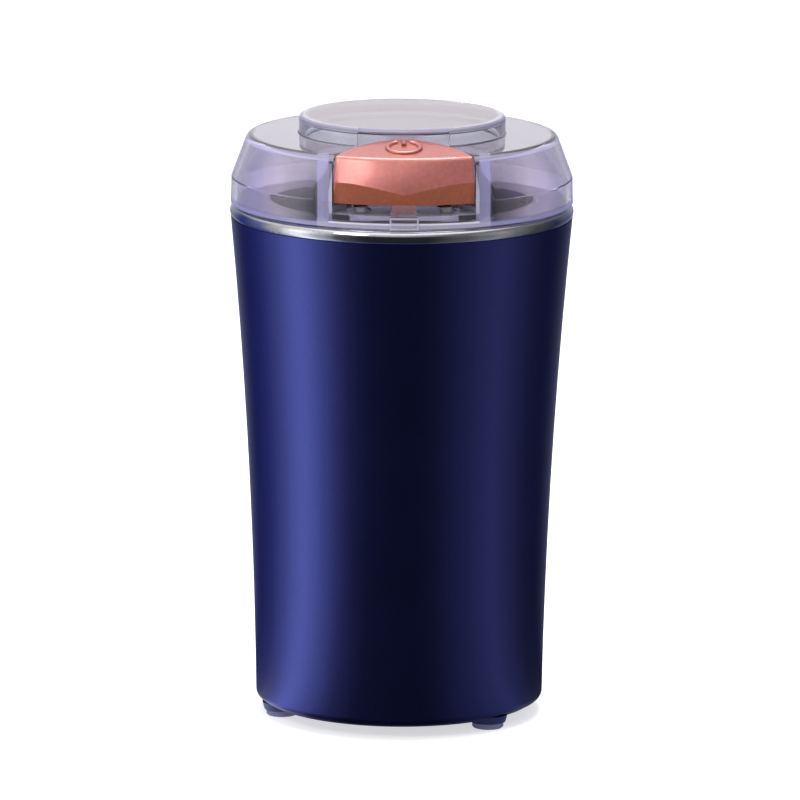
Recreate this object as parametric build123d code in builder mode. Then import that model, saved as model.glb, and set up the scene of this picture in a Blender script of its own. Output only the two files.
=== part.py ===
"""Electric spice grinder, in millimetres.

The origin is on the table under the middle of the grinder, +Z is up and the push button faces -Y.
Every piece is made where it sits with the lid on and the button released.
"""

import os
from math import cos, pi, radians, sin, sqrt

from build123d import *

os.makedirs("parts", exist_ok=True)

# ---- Driving sizes ----
# Clearances between separate pieces.
running_gap = 0.05
seat_gap = 0.1
loose_gap = 0.2
contact_gap = 0.3

# Outer sleeve: a drawn can whose side follows one arc through three radii.
foot_height = 4.0
sleeve_height = 144.0
sleeve_bottom_radius = 42.3
sleeve_top_radius = 50.1
sleeve_hollow = 1.45
sleeve_wall = 0.8
sleeve_corner = 2.0
sleeve_flange_width = 3.8

# Grinding bowl with its rolled rim, whose bead overhangs the sleeve. The mouth keeps clear of the
# sleeve at the height of the motor frame.
rim_height = 4.0
rim_overhang = 0.2
rim_roll = 1.9
bead_tuck = 0.4
sheet = 0.7
mouth_inset = 5.21
mouth_round = 1.0
bowl_draft = 2.4
bowl_depth = 45.0
bowl_corner = 10.0
fold_round = 0.1

# Collar under the rim, with the cage for the push rod's spring.
collar_height = 4.0
cage_wall = 1.5
cage_plate = 2.0

# Clear lid. The insets are measured inwards from the foot of its skirt.
lid_set_back = 0.15
lid_skirt_taper = 0.2
lid_skirt_height = 7.5
lid_shoulder_inset = 4.85
lid_shoulder_height = 20.3
lid_shoulder_round = 2.2
lid_disc_inset = 19.9
lid_disc_rise = 5.3
lid_annulus_rise = 0.3
lid_disc_foot_round = 0.4
lid_disc_round = 1.2
lid_wall = 1.8
recess_depth = 1.6
recess_width = 26.2

# Insert that closes the lid from below, and its seal in the bowl's mouth.
insert_web = 1.2
insert_lip_gap = 0.8
insert_lip_wall = 1.6
insert_lip_depth = 3.8
seal_height = 1.4
seal_depth = 0.8
seal_proud = 0.5
seal_drop = 2.4

# Push button: a lens in plan, between the lid's round front and an arc behind, with its ends cut off.
button_half_width = 20.4
button_arc_radius = 23.3
button_arc_offset = 2.85
button_clearance = 0.3
button_height = 13.2
button_set_back = 1.75
button_lean = 2.4
button_proud_slope = 0.375
button_crest_end = 6.1
button_crest_middle = 3.6
button_crest_reach = 0.8
button_top_slope = 0.19
button_sweep = 30.0
button_sections = 5
button_root_radius = 20.0
button_wall = 1.6
button_front_wall = 2.2
button_ceiling = 9.5
button_travel = 2.6
button_spring_radius = 2.5
button_spring_turns = 5
spring_wire = 0.5

# Pocket for the button in the lid, between two cheeks.
pocket_rise = 3.8
pocket_wall = 2.4
pocket_floor = 1.8
cheek_gap = 1.35
cheek_thickness = 3.9
cheek_depth = 11.0
guide_post_radius = 1.7
guide_post_height = 7.0
guide_post_spread = 12.2
guide_post_behind = 2.5

# Tab under the button, which goes down a slot to the push rod.
tab_width = 7.2
tab_thickness = 2.2
tab_outset = 2.5
tab_depth = 3.4
tab_clearance = 0.4
tab_root = 0.5

# Push rod from the tab down to the switch.
rod_head_width = 6.0
rod_head_thickness = 2.4
rod_head_length = 7.2
rod_shank_radius = 1.5
rod_flange_radius = 2.2
rod_flange_thickness = 1.5
rod_spring_length = 14.4
rod_spring_radius = 2.0
rod_spring_turns = 6

# Shaft, bearings and motor.
shaft_radius = 3.0
shaft_chamfer = 0.6
bearing_radius = 8.0
bearing_height = 6.0
bearing_press = 0.01
winding_room = 10.0
stator_length = 54.0
stator_width = 44.0
stator_corner = 10.0
yoke_width = 5.0
pole_width = 15.0
shoe_width = 25.0
shoe_thickness = 2.3
air_gap = 0.5
rotor_radius = 14.6
rotor_slots = 12
slot_depth = 5.0
slot_width = 1.2
coil_width = 5.8
coil_thickness = 3.8
coil_corner = 4.0
winding_radius = 12.5
winding_height = 7.5
winding_shoulder = 3.0
bolt_radius = 1.5
bolt_inset = 2.4
bolt_flats = 5.5
bolt_head = 2.4
leg_radius = 2.8
bracket_thickness = 2.0
bracket_boss_radius = 10.0
bracket_rim = 2.0
bracket_drop = 18.0
bearing_floor = 1.0
bearing_lip = 1.5
brush_room = 20.0
shaft_tail = 13.5
commutator_radius = 8.0
commutator_height = 9.5
commutator_slot_depth = 1.2
commutator_slot_width = 0.6
brush_width = 5.0
brush_height = 7.0
brush_length = 8.7
brush_spring_radius = 1.9
brush_spring_wire = 0.45
brush_spring_turns = 5
holder_wall = 1.0
holder_gap = 3.0
holder_length = 15.0
holder_foot = 2.0
holder_foot_rim = 1.5
holder_foot_share = 0.6
fan_radius = 23.0
fan_blades = 9
fan_blade_height = 7.0
fan_disc = 1.2
fan_overhang = 0.8
fan_clearance = 5.3
fan_blade_thickness = 1.0
damper_radius = 5.0
damper_height = 4.0
damper_circle = 24.0

# Frame under the bowl, bush and blade.
frame_plate = 3.0
frame_inset = 5.0
frame_boss_radius = 14.0
frame_boss_height = 2.3
lug_width = 12.0
post_radius = 3.2
post_circle = 34.5
post_angle = 15.7
window_length = 14.0
window_width = 7.0
window_circle = 28.0
gasket_thickness = 1.0
bush_radius = 6.3
bush_flange_radius = 9.5
bush_flange = 1.4
bush_length = 14.0
seal_radius = 5.15
seal_length = 4.6
nut_flats = 17.0
nut_height = 4.0
hub_radius = 6.5
hub_height = 3.1
hub_clearance = 0.5
blade_inset = 4.6
blade_thickness = 1.4
blade_width = 13.0
blade_lift = 6.2
blade_drop = 2.1
blade_flat = 11.0
blade_belly = 1.0
blade_hook = 4.5
blade_tip_width = 0.5
blade_tip_cut = 0.9
cap_nut_flats = 10.0
cap_nut_height = 3.6
cap_nut_dome = 2.4
cap_nut_slope = 28.0

# Base, feet and the screws that close it.
plate_lip_inset = 2.5
plate_lip = 0.6
plate_thickness = 2.4
foot_circle = 36.0
foot_angle = 75.7
foot_radius = 5.8
foot_draft = 15.0
pad_radius = 4.6
pad_proud = 1.8
pad_inset = 1.6
pad_chamfer = 0.4
screw_radius = 1.5
screw_length = 10.0
screw_head_radius = 2.7
screw_head = 1.4
vent_count = 10
vent_length = 12.0
vent_width = 2.4
vent_circle = 18.0

# Cord inlet at the back.
inlet_height = 16.0
inlet_bore = 2.8
gland_radius = 5.0
gland_flange_radius = 7.2
gland_flange = 2.6
gland_flange_edge = 1.0
gland_nose_wall = 1.4
gland_inner_step = 0.8
gland_inner_length = 2.0
saddle_width = 19.0
saddle_depth = 6.5
saddle_back = 29.5
saddle_cap = 3.4
saddle_screw_spread = 6.8
saddle_screw_radius = 1.2
saddle_screw_length = 7.0
saddle_screw_head_radius = 2.2
saddle_hole_spare = 1.0

# Microswitch with its lever, and the capacitor.
switch_length = 19.8
switch_width = 6.4
switch_height = 10.2
switch_ahead = 5.5
switch_lift = 1.5
switch_screw_spacing = 10.0
switch_screw_radius = 0.9
switch_screw_head_radius = 1.9
switch_screw_head = 1.2
arm_thickness = 2.2
hinge_inset = 1.4
ear_thickness = 0.6
ear_depth = 2.2
ear_rise = 1.0
pin_radius = 0.5
knuckle_radius = 0.9
nub_radius = 0.9
nub_inset = 8.5
nub_depth = 1.2
nub_clearance = 0.7
nub_well = 5.0
terminal_thickness = 0.8
terminal_depth = 3.2
terminal_length = 5.5
terminal_pitch = 7.0
lever_rise = 2.7
lever_strip = 0.4
lever_width = 4.4
lever_overrun = 1.1
capacitor_length = 17.0
capacitor_width = 7.0
capacitor_height = 14.0
capacitor_chamfer = 0.6
capacitor_circle = 33.2
capacitor_angle = -50.0
capacitor_rib = 1.2
capacitor_rib_height = 4.0
capacitor_rib_share = 0.6

# ---- Heights that follow from the driving sizes ----
sleeve_top = foot_height + sleeve_height
rim_top = sleeve_top + rim_height
bowl_floor = rim_top - bowl_depth
bowl_under = bowl_floor - sheet
lid_bottom = rim_top + contact_gap
pocket_top = lid_bottom + pocket_rise
button_bottom = pocket_top + button_travel + contact_gap
button_front_top = button_bottom + button_height
tab_bottom = rim_top - tab_depth
rod_top = tab_bottom - contact_gap
rod_head_bottom = rod_top - rod_head_length
frame_boss_top = bowl_under - gasket_thickness
frame_top = frame_boss_top - frame_boss_height
frame_bottom = frame_top - frame_plate
plate_top = foot_height + plate_thickness
plate_bottom = foot_height - plate_lip
upper_bracket_bottom = frame_bottom - bracket_drop
upper_bracket_top = upper_bracket_bottom + bracket_thickness
damper_top = upper_bracket_top + damper_height
fan_bottom = plate_top + fan_clearance
fan_top = fan_bottom + fan_blade_height
shaft_bottom = fan_bottom + fan_overhang
lower_bracket_bottom = shaft_bottom + shaft_tail
lower_bracket_top = lower_bracket_bottom + bracket_thickness
stack_bottom = lower_bracket_top + brush_room
stack_top = upper_bracket_bottom - winding_room
stack_height = stack_top - stack_bottom
stack_middle = (stack_bottom + stack_top) / 2
bolt_offset = stator_length / 2 - bolt_inset
hub_bottom = bowl_floor + bush_flange + hub_clearance
blade_bottom = hub_bottom + hub_height
blade_top = blade_bottom + blade_thickness
shaft_top = blade_top + cap_nut_height + hub_clearance
switch_bottom = upper_bracket_bottom + switch_lift
switch_top = switch_bottom + switch_height
lever_height = switch_top + lever_rise
rod_bottom = lever_height + lever_strip / 2 + contact_gap

# ---- Side of the sleeve ----
sleeve_waist_radius = (sleeve_bottom_radius + sleeve_top_radius) / 2 - sleeve_hollow
sleeve_curve = ThreePointArc(
    (sleeve_bottom_radius, foot_height),
    (sleeve_waist_radius, foot_height + sleeve_height / 2),
    (sleeve_top_radius, sleeve_top),
)


def sleeve_radius(height):
    """Outer radius of the sleeve at a height above the table."""
    centre = sleeve_curve.arc_center
    return centre.X - sqrt(sleeve_curve.radius**2 - (height - centre.Y) ** 2)


# ---- Radii that follow from the sleeve ----
rim_radius = sleeve_top_radius + rim_overhang
roll_start = rim_radius - rim_roll
frame_radius = sleeve_radius(frame_bottom) - frame_inset
mouth_radius = sleeve_radius(frame_bottom) - mouth_inset
bowl_floor_radius = mouth_radius - bowl_draft
lid_skirt_radius = rim_radius - lid_set_back
lid_shoulder_radius = lid_skirt_radius - lid_shoulder_inset
lid_disc_radius = lid_skirt_radius - lid_disc_inset
insert_lip_radius = mouth_radius - insert_lip_gap
button_foot_radius = lid_skirt_radius - button_set_back
button_top_radius = button_foot_radius - button_lean
button_arc_centre = lid_skirt_radius + button_arc_offset
tab_radius = mouth_radius + tab_outset
guide_post_back = tab_radius - guide_post_behind
blade_reach = bowl_floor_radius - blade_inset
plate_lip_radius = sleeve_bottom_radius - plate_lip_inset
flange_radius = sleeve_bottom_radius - sleeve_flange_width
switch_front = tab_radius - switch_ahead


def ring(inner, outer, low, high):
    """A plain ring around the main axis."""
    with BuildPart() as piece:
        with BuildSketch(Plane.XY.offset(low)):
            Circle(outer)
            Circle(inner, mode=Mode.SUBTRACT)
        extrude(amount=high - low)
    return piece


def coil(radius, wire, turns, low, high, steps=10):
    """A compression spring of square wire, drawn as a many-sided helix between two heights."""
    pitch = (high - low - wire) / turns
    turn = 2 * pi / steps
    points = [
        (radius * cos(i * turn), radius * sin(i * turn), low + wire / 2 + pitch * i / steps)
        for i in range(steps * turns + 1)
    ]
    with BuildPart() as piece:
        with BuildLine() as path:
            Polyline(*points)
        with BuildSketch(Plane(origin=path.line @ 0, z_dir=path.line % 0)):
            Rectangle(wire, wire)
        sweep(transition=Transition.RIGHT)
    return piece


# ---- Body sleeve: deep-drawn can, open at the top, flanged inwards at the bottom ----
side_foot = foot_height + sleeve_corner
side_foot_radius = sleeve_radius(side_foot)
waist_height = foot_height + sleeve_height / 2
corner_in = side_foot_radius - sleeve_corner * (1 - sin(pi / 4))
corner_up = foot_height + sleeve_corner * (1 - cos(pi / 4))
with BuildPart() as body_sleeve:
    with BuildSketch(Plane.XZ):
        with BuildLine():
            outside = ThreePointArc(
                (side_foot_radius, side_foot),
                (sleeve_waist_radius, waist_height),
                (sleeve_top_radius, sleeve_top),
            )
            Line(outside @ 1, (sleeve_top_radius - sleeve_wall, sleeve_top))
            inside = ThreePointArc(
                (sleeve_top_radius - sleeve_wall, sleeve_top),
                (sleeve_waist_radius - sleeve_wall, waist_height),
                (sleeve_radius(foot_height + sleeve_wall) - sleeve_wall, foot_height + sleeve_wall),
            )
            flange = Polyline(
                inside @ 1,
                (flange_radius, foot_height + sleeve_wall),
                (flange_radius, foot_height),
                (side_foot_radius - sleeve_corner, foot_height),
            )
            ThreePointArc(flange @ 1, (corner_in, corner_up), outside @ 0)
        make_face()
    revolve(axis=Axis.Z)
    with BuildSketch(Plane.XZ.offset(-sleeve_bottom_radius / 2)):
        with Locations((0, inlet_height)):
            Circle(gland_radius + loose_gap)
    extrude(amount=-sleeve_bottom_radius, mode=Mode.SUBTRACT)
body_sleeve.part.label = "body_sleeve"
export_step(body_sleeve.part, "parts/body_sleeve.step")


# ---- Grinding bowl: one sheet from the shaft hole to the bead that covers the sleeve's edge ----
bush_hole = bush_radius + loose_gap
bead_bottom = sleeve_top + seat_gap
slot_front = tab_radius + tab_thickness / 2 + tab_clearance
slot_back = tab_radius - tab_thickness / 2 - contact_gap
slot_half = tab_width / 2 + tab_clearance
with BuildPart() as grinding_bowl:
    with BuildSketch(Plane.XZ):
        with BuildLine():
            inner = FilletPolyline(
                (bush_hole, bowl_floor),
                (bowl_floor_radius, bowl_floor),
                (mouth_radius, rim_top),
                (roll_start, rim_top),
                radius=[bowl_corner, mouth_round],
            )
            bead = ThreePointArc(
                inner @ 1, (rim_radius, rim_top - rim_roll), (rim_radius - bead_tuck, bead_bottom)
            )
            bead_inside = Polyline(
                bead @ 1,
                (rim_radius - bead_tuck - sheet, bead_bottom),
                (rim_radius - sheet, rim_top - rim_roll),
                (roll_start, rim_top - sheet),
            )
            outer = FilletPolyline(
                bead_inside @ 1,
                (mouth_radius + sheet, rim_top - sheet),
                (bowl_floor_radius + sheet, bowl_under),
                (bush_hole, bowl_under),
                radius=[fold_round, bowl_corner + sheet],
            )
            Line(outer @ 1, inner @ 0)
        make_face()
    revolve(axis=Axis.Z)
    with BuildSketch(Plane.XY.offset(rim_top - 2 * sheet)):
        with Locations((0, -(slot_front + slot_back) / 2)):
            Rectangle(2 * slot_half, slot_front - slot_back)
    extrude(amount=3 * sheet, mode=Mode.SUBTRACT)
grinding_bowl.part.label = "grinding_bowl"
export_step(grinding_bowl.part, "parts/grinding_bowl.step")


# ---- Bowl collar: moulded ring that centres the bowl, with a cage for the push rod's spring ----
collar_inner = mouth_radius + sheet + seat_gap
collar_bottom = sleeve_top - collar_height
collar_outer = roll_start - seat_gap
collar_top = rim_top - sheet
rod_shoulder = rod_head_bottom - rod_flange_thickness
cage_floor = rod_shoulder - rod_spring_length - 2 * seat_gap
cage_inner = slot_half + loose_gap
cage_outer = cage_inner + cage_wall
cage_depth = 2 * (tab_radius - mouth_radius - sheet - contact_gap)
with BuildPart() as bowl_collar:
    with BuildSketch(Plane.XY.offset(collar_bottom)):
        Circle(collar_outer)
        Circle(collar_inner, mode=Mode.SUBTRACT)
        with Locations((0, -(slot_front + slot_back) / 2)):
            Rectangle(2 * slot_half, slot_front - slot_back, mode=Mode.SUBTRACT)
    extrude(amount=collar_top - collar_bottom)
    with BuildSketch(Plane.XY.offset(cage_floor)):
        with Locations((0, -tab_radius)):
            Rectangle(2 * cage_outer, cage_depth)
            Rectangle(2 * cage_inner, cage_depth, mode=Mode.SUBTRACT)
    extrude(amount=collar_bottom - cage_floor)
    with BuildSketch(Plane.XY.offset(cage_floor)):
        with Locations((0, -tab_radius)):
            Rectangle(2 * cage_outer, cage_depth)
            Circle(rod_shank_radius + contact_gap, mode=Mode.SUBTRACT)
    extrude(amount=-cage_plate)
bowl_collar.part.label = "bowl_collar"
export_step(bowl_collar.part, "parts/bowl_collar.step")


# ---- Shaft bush, gasket, nut and seal: they clamp the bowl floor to the motor frame ----
with BuildPart() as shaft_bush:
    with BuildSketch(Plane.XY.offset(bowl_floor - bush_length)):
        Circle(bush_radius)
    extrude(amount=bush_length)
    with BuildSketch(Plane.XY.offset(bowl_floor)):
        Circle(bush_flange_radius)
    extrude(amount=bush_flange)
    with Locations((0, 0, bowl_floor + bush_flange)):
        CounterBoreHole(
            radius=shaft_radius + contact_gap,
            counter_bore_radius=seal_radius + running_gap,
            counter_bore_depth=seal_length + loose_gap,
        )
shaft_bush.part.label = "shaft_bush"
export_step(shaft_bush.part, "parts/shaft_bush.step")

bowl_gasket = ring(bush_hole, frame_boss_radius - gasket_thickness, frame_boss_top, bowl_under)
bowl_gasket.part.label = "bowl_gasket"
export_step(bowl_gasket.part, "parts/bowl_gasket.step")

with BuildPart() as bowl_nut:
    with BuildSketch(Plane.XY.offset(frame_bottom - nut_height)):
        RegularPolygon(radius=nut_flats / 2, side_count=6, major_radius=False)
        Circle(bush_radius + running_gap, mode=Mode.SUBTRACT)
    extrude(amount=nut_height)
bowl_nut.part.label = "bowl_nut"
export_step(bowl_nut.part, "parts/bowl_nut.step")

seal_top = bowl_floor + bush_flange - loose_gap
shaft_seal = ring(shaft_radius + running_gap, seal_radius, seal_top - seal_length, seal_top)
shaft_seal.part.label = "shaft_seal"
export_step(shaft_seal.part, "parts/shaft_seal.step")


# ---- Motor frame: plate under the bowl, posts to the base, bosses for the motor, arm for the switch ----
switch_middle = switch_front - switch_length / 2
lug_reach = sleeve_radius(frame_bottom) - sleeve_wall - 2 * loose_gap
switch_screw_height = switch_bottom + switch_height / 2
switch_screw_spots = [
    (-switch_middle - switch_screw_spacing / 2, switch_screw_height),
    (-switch_middle + switch_screw_spacing / 2, switch_screw_height),
]
with BuildPart() as motor_frame:
    with BuildSketch(Plane.XY.offset(frame_bottom)):
        Circle(frame_radius)
        with Locations((0, -lug_reach + lug_width / 2)):
            Rectangle(lug_width, lug_width)
    extrude(amount=frame_plate)
    with BuildSketch(Plane.XY.offset(frame_top)):
        Circle(frame_boss_radius)
    extrude(amount=frame_boss_height)
    with BuildSketch(Plane.XY.offset(plate_top)):
        with PolarLocations(post_circle, 3, start_angle=post_angle):
            Circle(post_radius)
    extrude(amount=frame_bottom - plate_top)
    with BuildSketch(Plane.XY.offset(damper_top)):
        with PolarLocations(damper_circle, 3, start_angle=90):
            Circle(damper_radius)
    extrude(amount=frame_bottom - damper_top)
    with BuildSketch(Plane.XY.offset(switch_bottom)):
        with Locations((switch_width / 2 + arm_thickness / 2, -switch_middle)):
            Rectangle(arm_thickness, switch_length)
    extrude(amount=frame_bottom - switch_bottom)
    with Locations((0, 0, frame_boss_top)):
        Hole(bush_radius + seat_gap, depth=frame_boss_top - frame_bottom)
    with Locations((0, -tab_radius, frame_top)):
        Hole(rod_shank_radius + contact_gap, depth=frame_plate)
    with BuildSketch(Plane.XY.offset(damper_top)):
        with PolarLocations(damper_circle, 3, start_angle=90):
            Circle(screw_radius + running_gap)
    extrude(amount=screw_length, mode=Mode.SUBTRACT)
    with BuildSketch(Plane.XY.offset(plate_top)):
        with PolarLocations(post_circle, 3, start_angle=post_angle):
            Circle(screw_radius + running_gap)
    extrude(amount=screw_length, mode=Mode.SUBTRACT)
    with BuildSketch(Plane.XY.offset(frame_bottom)):
        with PolarLocations(window_circle, 3, start_angle=30):
            SlotOverall(window_length, window_width, rotation=90)
    extrude(amount=frame_plate, mode=Mode.SUBTRACT)
    with BuildSketch(Plane.YZ.offset(switch_width / 2)):
        with Locations(*switch_screw_spots):
            Circle(switch_screw_radius + running_gap)
    extrude(amount=arm_thickness, mode=Mode.SUBTRACT)
motor_frame.part.label = "motor_frame"
export_step(motor_frame.part, "parts/motor_frame.step")


# ---- Base plate: vented floor with foot holders, cord saddle and capacitor ribs ----
saddle_middle = saddle_back + saddle_depth / 2
saddle_spots = [(-saddle_screw_spread, saddle_middle), (saddle_screw_spread, saddle_middle)]
with BuildPart() as base_plate:
    with BuildSketch(Plane.XY.offset(plate_bottom)):
        Circle(plate_lip_radius)
    extrude(amount=plate_lip)
    with BuildSketch(Plane.XY.offset(foot_height)):
        Circle(flange_radius - loose_gap)
    extrude(amount=plate_thickness)
    with BuildSketch(Plane.XY.offset(foot_height)):
        with PolarLocations(foot_circle, 3, start_angle=foot_angle):
            Circle(foot_radius)
    extrude(amount=-(foot_height - pad_proud), taper=foot_draft)
    with BuildSketch(Plane.XY.offset(plate_top)):
        with Locations((0, saddle_middle)):
            Rectangle(saddle_width, saddle_depth)
    extrude(amount=inlet_height - plate_top)
    with BuildSketch(Plane.XY.offset(plate_top)):
        with PolarLocations(capacitor_circle, 1, start_angle=capacitor_angle):
            Rectangle(capacitor_width + 2 * capacitor_rib, capacitor_length * capacitor_rib_share)
            Rectangle(capacitor_width + seat_gap, capacitor_length * capacitor_rib_share, mode=Mode.SUBTRACT)
    extrude(amount=capacitor_rib_height)
    with BuildSketch(Plane.XZ.offset(-saddle_back)):
        with Locations((0, inlet_height)):
            Circle(inlet_bore)
    extrude(amount=-saddle_depth, mode=Mode.SUBTRACT)
    with BuildSketch(Plane.XY.offset(pad_proud)):
        with PolarLocations(foot_circle, 3, start_angle=foot_angle):
            Circle(pad_radius + running_gap)
    extrude(amount=pad_inset, mode=Mode.SUBTRACT)
    with BuildSketch(Plane.XY.offset(plate_bottom)):
        with PolarLocations(post_circle, 3, start_angle=post_angle):
            Circle(screw_radius + seat_gap)
        with PolarLocations(vent_circle, vent_count):
            Rectangle(vent_length, vent_width)
    extrude(amount=plate_top - plate_bottom, mode=Mode.SUBTRACT)
    with BuildSketch(Plane.XY.offset(plate_bottom)):
        with PolarLocations(post_circle, 3, start_angle=post_angle):
            Circle(screw_head_radius + loose_gap)
    extrude(amount=screw_head, mode=Mode.SUBTRACT)
    with BuildSketch(Plane.XY.offset(inlet_height)):
        with Locations(*saddle_spots):
            Circle(saddle_screw_radius + running_gap)
    extrude(amount=-saddle_screw_length - saddle_hole_spare, mode=Mode.SUBTRACT)
base_plate.part.label = "base_plate"
export_step(base_plate.part, "parts/base_plate.step")

with BuildPart() as foot_pads:
    with BuildSketch(Plane.XY):
        with PolarLocations(foot_circle, 3, start_angle=foot_angle):
            Circle(pad_radius)
    extrude(amount=pad_proud + pad_inset)
    chamfer(foot_pads.faces().sort_by(Axis.Z)[:3].edges(), pad_chamfer)
foot_pads.part.label = "foot_pads"
export_step(foot_pads.part, "parts/foot_pads.step")

with BuildPart() as base_screws:
    with BuildSketch(Plane.XY.offset(plate_bottom)):
        with PolarLocations(post_circle, 3, start_angle=post_angle):
            Circle(screw_head_radius)
    extrude(amount=screw_head)
    with BuildSketch(Plane.XY.offset(plate_bottom + screw_head)):
        with PolarLocations(post_circle, 3, start_angle=post_angle):
            Circle(screw_radius)
    extrude(amount=screw_length)
base_screws.part.label = "base_screws"
export_step(base_screws.part, "parts/base_screws.step")


# ---- Cord inlet: grommet in the sleeve wall and the saddle cap behind it, without a cord ----
inner_flange_radius = gland_flange_radius - gland_inner_step
gland_face = sleeve_radius(inlet_height + gland_flange_radius) + seat_gap
wall_inside = sleeve_radius(inlet_height - gland_flange_radius) - sleeve_wall
gland_inside = sqrt(wall_inside**2 - inner_flange_radius**2) - seat_gap
with BuildPart() as cord_gland:
    with BuildSketch(Plane.YZ):
        with BuildLine():
            Polyline(
                (gland_inside - gland_inner_length, inlet_height + inlet_bore),
                (gland_inside - gland_inner_length, inlet_height + inner_flange_radius),
                (gland_inside, inlet_height + inner_flange_radius),
                (gland_inside, inlet_height + gland_radius),
                (gland_face, inlet_height + gland_radius),
                (gland_face, inlet_height + gland_flange_radius),
                (gland_face + gland_flange_edge, inlet_height + gland_flange_radius),
                (gland_face + gland_flange, inlet_height + inlet_bore + gland_nose_wall),
                (gland_face + gland_flange, inlet_height + inlet_bore),
                close=True,
            )
        make_face()
    revolve(axis=Axis((0, 0, inlet_height), (0, 1, 0)))
cord_gland.part.label = "cord_gland"
export_step(cord_gland.part, "parts/cord_gland.step")

with BuildPart() as cord_clamp:
    with BuildSketch(Plane.XY.offset(inlet_height + loose_gap)):
        with Locations((0, saddle_middle)):
            Rectangle(saddle_width, saddle_depth)
    extrude(amount=saddle_cap)
    with BuildSketch(Plane.XZ.offset(-saddle_back)):
        with Locations((0, inlet_height)):
            Circle(inlet_bore)
    extrude(amount=-saddle_depth, mode=Mode.SUBTRACT)
    with BuildSketch(Plane.XY.offset(inlet_height)):
        with Locations(*saddle_spots):
            Circle(saddle_screw_radius + seat_gap)
    extrude(amount=saddle_cap + saddle_hole_spare, mode=Mode.SUBTRACT)
cord_clamp.part.label = "cord_clamp"
export_step(cord_clamp.part, "parts/cord_clamp.step")

with BuildPart() as clamp_screws:
    with BuildSketch(Plane.XY.offset(inlet_height - saddle_screw_length)):
        with Locations(*saddle_spots):
            Circle(saddle_screw_radius)
    extrude(amount=saddle_screw_length + loose_gap + saddle_cap)
    with BuildSketch(Plane.XY.offset(inlet_height + loose_gap + saddle_cap)):
        with Locations(*saddle_spots):
            Circle(saddle_screw_head_radius)
    extrude(amount=screw_head)
clamp_screws.part.label = "clamp_screws"
export_step(clamp_screws.part, "parts/clamp_screws.step")


# ---- Mains capacitor standing in its ribs ----
with BuildPart() as capacitor:
    with BuildSketch(Plane.XY.offset(plate_top)):
        with PolarLocations(capacitor_circle, 1, start_angle=capacitor_angle):
            Rectangle(capacitor_width, capacitor_length)
    extrude(amount=capacitor_height)
    chamfer(capacitor.edges().filter_by(Axis.Z), capacitor_chamfer)
capacitor.part.label = "capacitor"
export_step(capacitor.part, "parts/capacitor.step")


# ---- Microswitch on the frame's arm, its screws and the lever under the push rod ----
hinge_back = switch_front - switch_length + hinge_inset
ear_offset = (switch_width - ear_thickness) / 2
nub_back = switch_front - nub_inset
with BuildPart() as microswitch:
    with BuildSketch(Plane.XY.offset(switch_bottom)):
        with Locations((0, -switch_middle)):
            Rectangle(switch_width, switch_length)
    extrude(amount=switch_height)
    with BuildSketch(Plane.XY.offset(switch_top)):
        with Locations((-ear_offset, -hinge_back), (ear_offset, -hinge_back)):
            Rectangle(ear_thickness, ear_depth)
    extrude(amount=lever_rise + ear_rise)
    with BuildSketch(Plane.XY.offset(switch_bottom)):
        with Locations((0, -switch_middle)), GridLocations(0, terminal_pitch, 1, 3):
            Rectangle(terminal_thickness, terminal_depth)
    extrude(amount=-terminal_length)
    with BuildSketch(Plane.XY.offset(switch_top)):
        with Locations((0, -nub_back)):
            Circle(nub_radius + nub_clearance)
    extrude(amount=-nub_well, mode=Mode.SUBTRACT)
    with BuildSketch(Plane.YZ.offset(-switch_width / 2)):
        with Locations((-hinge_back, lever_height)):
            Circle(pin_radius + running_gap)
        with Locations(*switch_screw_spots):
            Circle(switch_screw_radius + seat_gap)
    extrude(amount=switch_width, mode=Mode.SUBTRACT)
microswitch.part.label = "microswitch"
export_step(microswitch.part, "parts/microswitch.step")

with BuildPart() as switch_screws:
    with BuildSketch(Plane.YZ.offset(-switch_width / 2)):
        with Locations(*switch_screw_spots):
            Circle(switch_screw_radius)
    extrude(amount=switch_width + arm_thickness)
    with BuildSketch(Plane.YZ.offset(-switch_width / 2)):
        with Locations(*switch_screw_spots):
            Circle(switch_screw_head_radius)
    extrude(amount=-switch_screw_head)
switch_screws.part.label = "switch_screws"
export_step(switch_screws.part, "parts/switch_screws.step")

lever_tip = tab_radius + lever_overrun
lever_half = lever_width / 2
with BuildPart() as switch_lever:
    with BuildSketch(Plane.XY.offset(lever_height - lever_strip / 2)):
        with Locations((0, -(lever_tip + hinge_back) / 2)):
            Rectangle(lever_width, lever_tip - hinge_back)
    extrude(amount=lever_strip)
    with BuildSketch(Plane.YZ.offset(-lever_half)):
        with Locations((-hinge_back, lever_height)):
            Circle(knuckle_radius)
    extrude(amount=lever_width)
    with BuildSketch(Plane.YZ.offset(-switch_width / 2)):
        with Locations((-hinge_back, lever_height)):
            Circle(pin_radius)
    extrude(amount=switch_width)
    with BuildSketch(Plane.XY.offset(switch_top - nub_depth)):
        with Locations((0, -nub_back)):
            Circle(nub_radius)
    extrude(amount=lever_height - switch_top + nub_depth)
switch_lever.part.label = "switch_lever"
export_step(switch_lever.part, "parts/switch_lever.step")


# ---- Push rod with its return spring ----
with BuildPart() as push_rod:
    with BuildSketch(Plane.XY.offset(rod_head_bottom)):
        with Locations((0, -tab_radius)):
            Rectangle(rod_head_width, rod_head_thickness)
    extrude(amount=rod_head_length)
    with BuildSketch(Plane.XY.offset(rod_bottom)):
        with Locations((0, -tab_radius)):
            Circle(rod_shank_radius)
    extrude(amount=rod_head_bottom - rod_bottom)
    with BuildSketch(Plane.XY.offset(rod_shoulder)):
        with Locations((0, -tab_radius)):
            Circle(rod_flange_radius)
    extrude(amount=rod_flange_thickness)
push_rod.part.label = "push_rod"
export_step(push_rod.part, "parts/push_rod.step")

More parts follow.
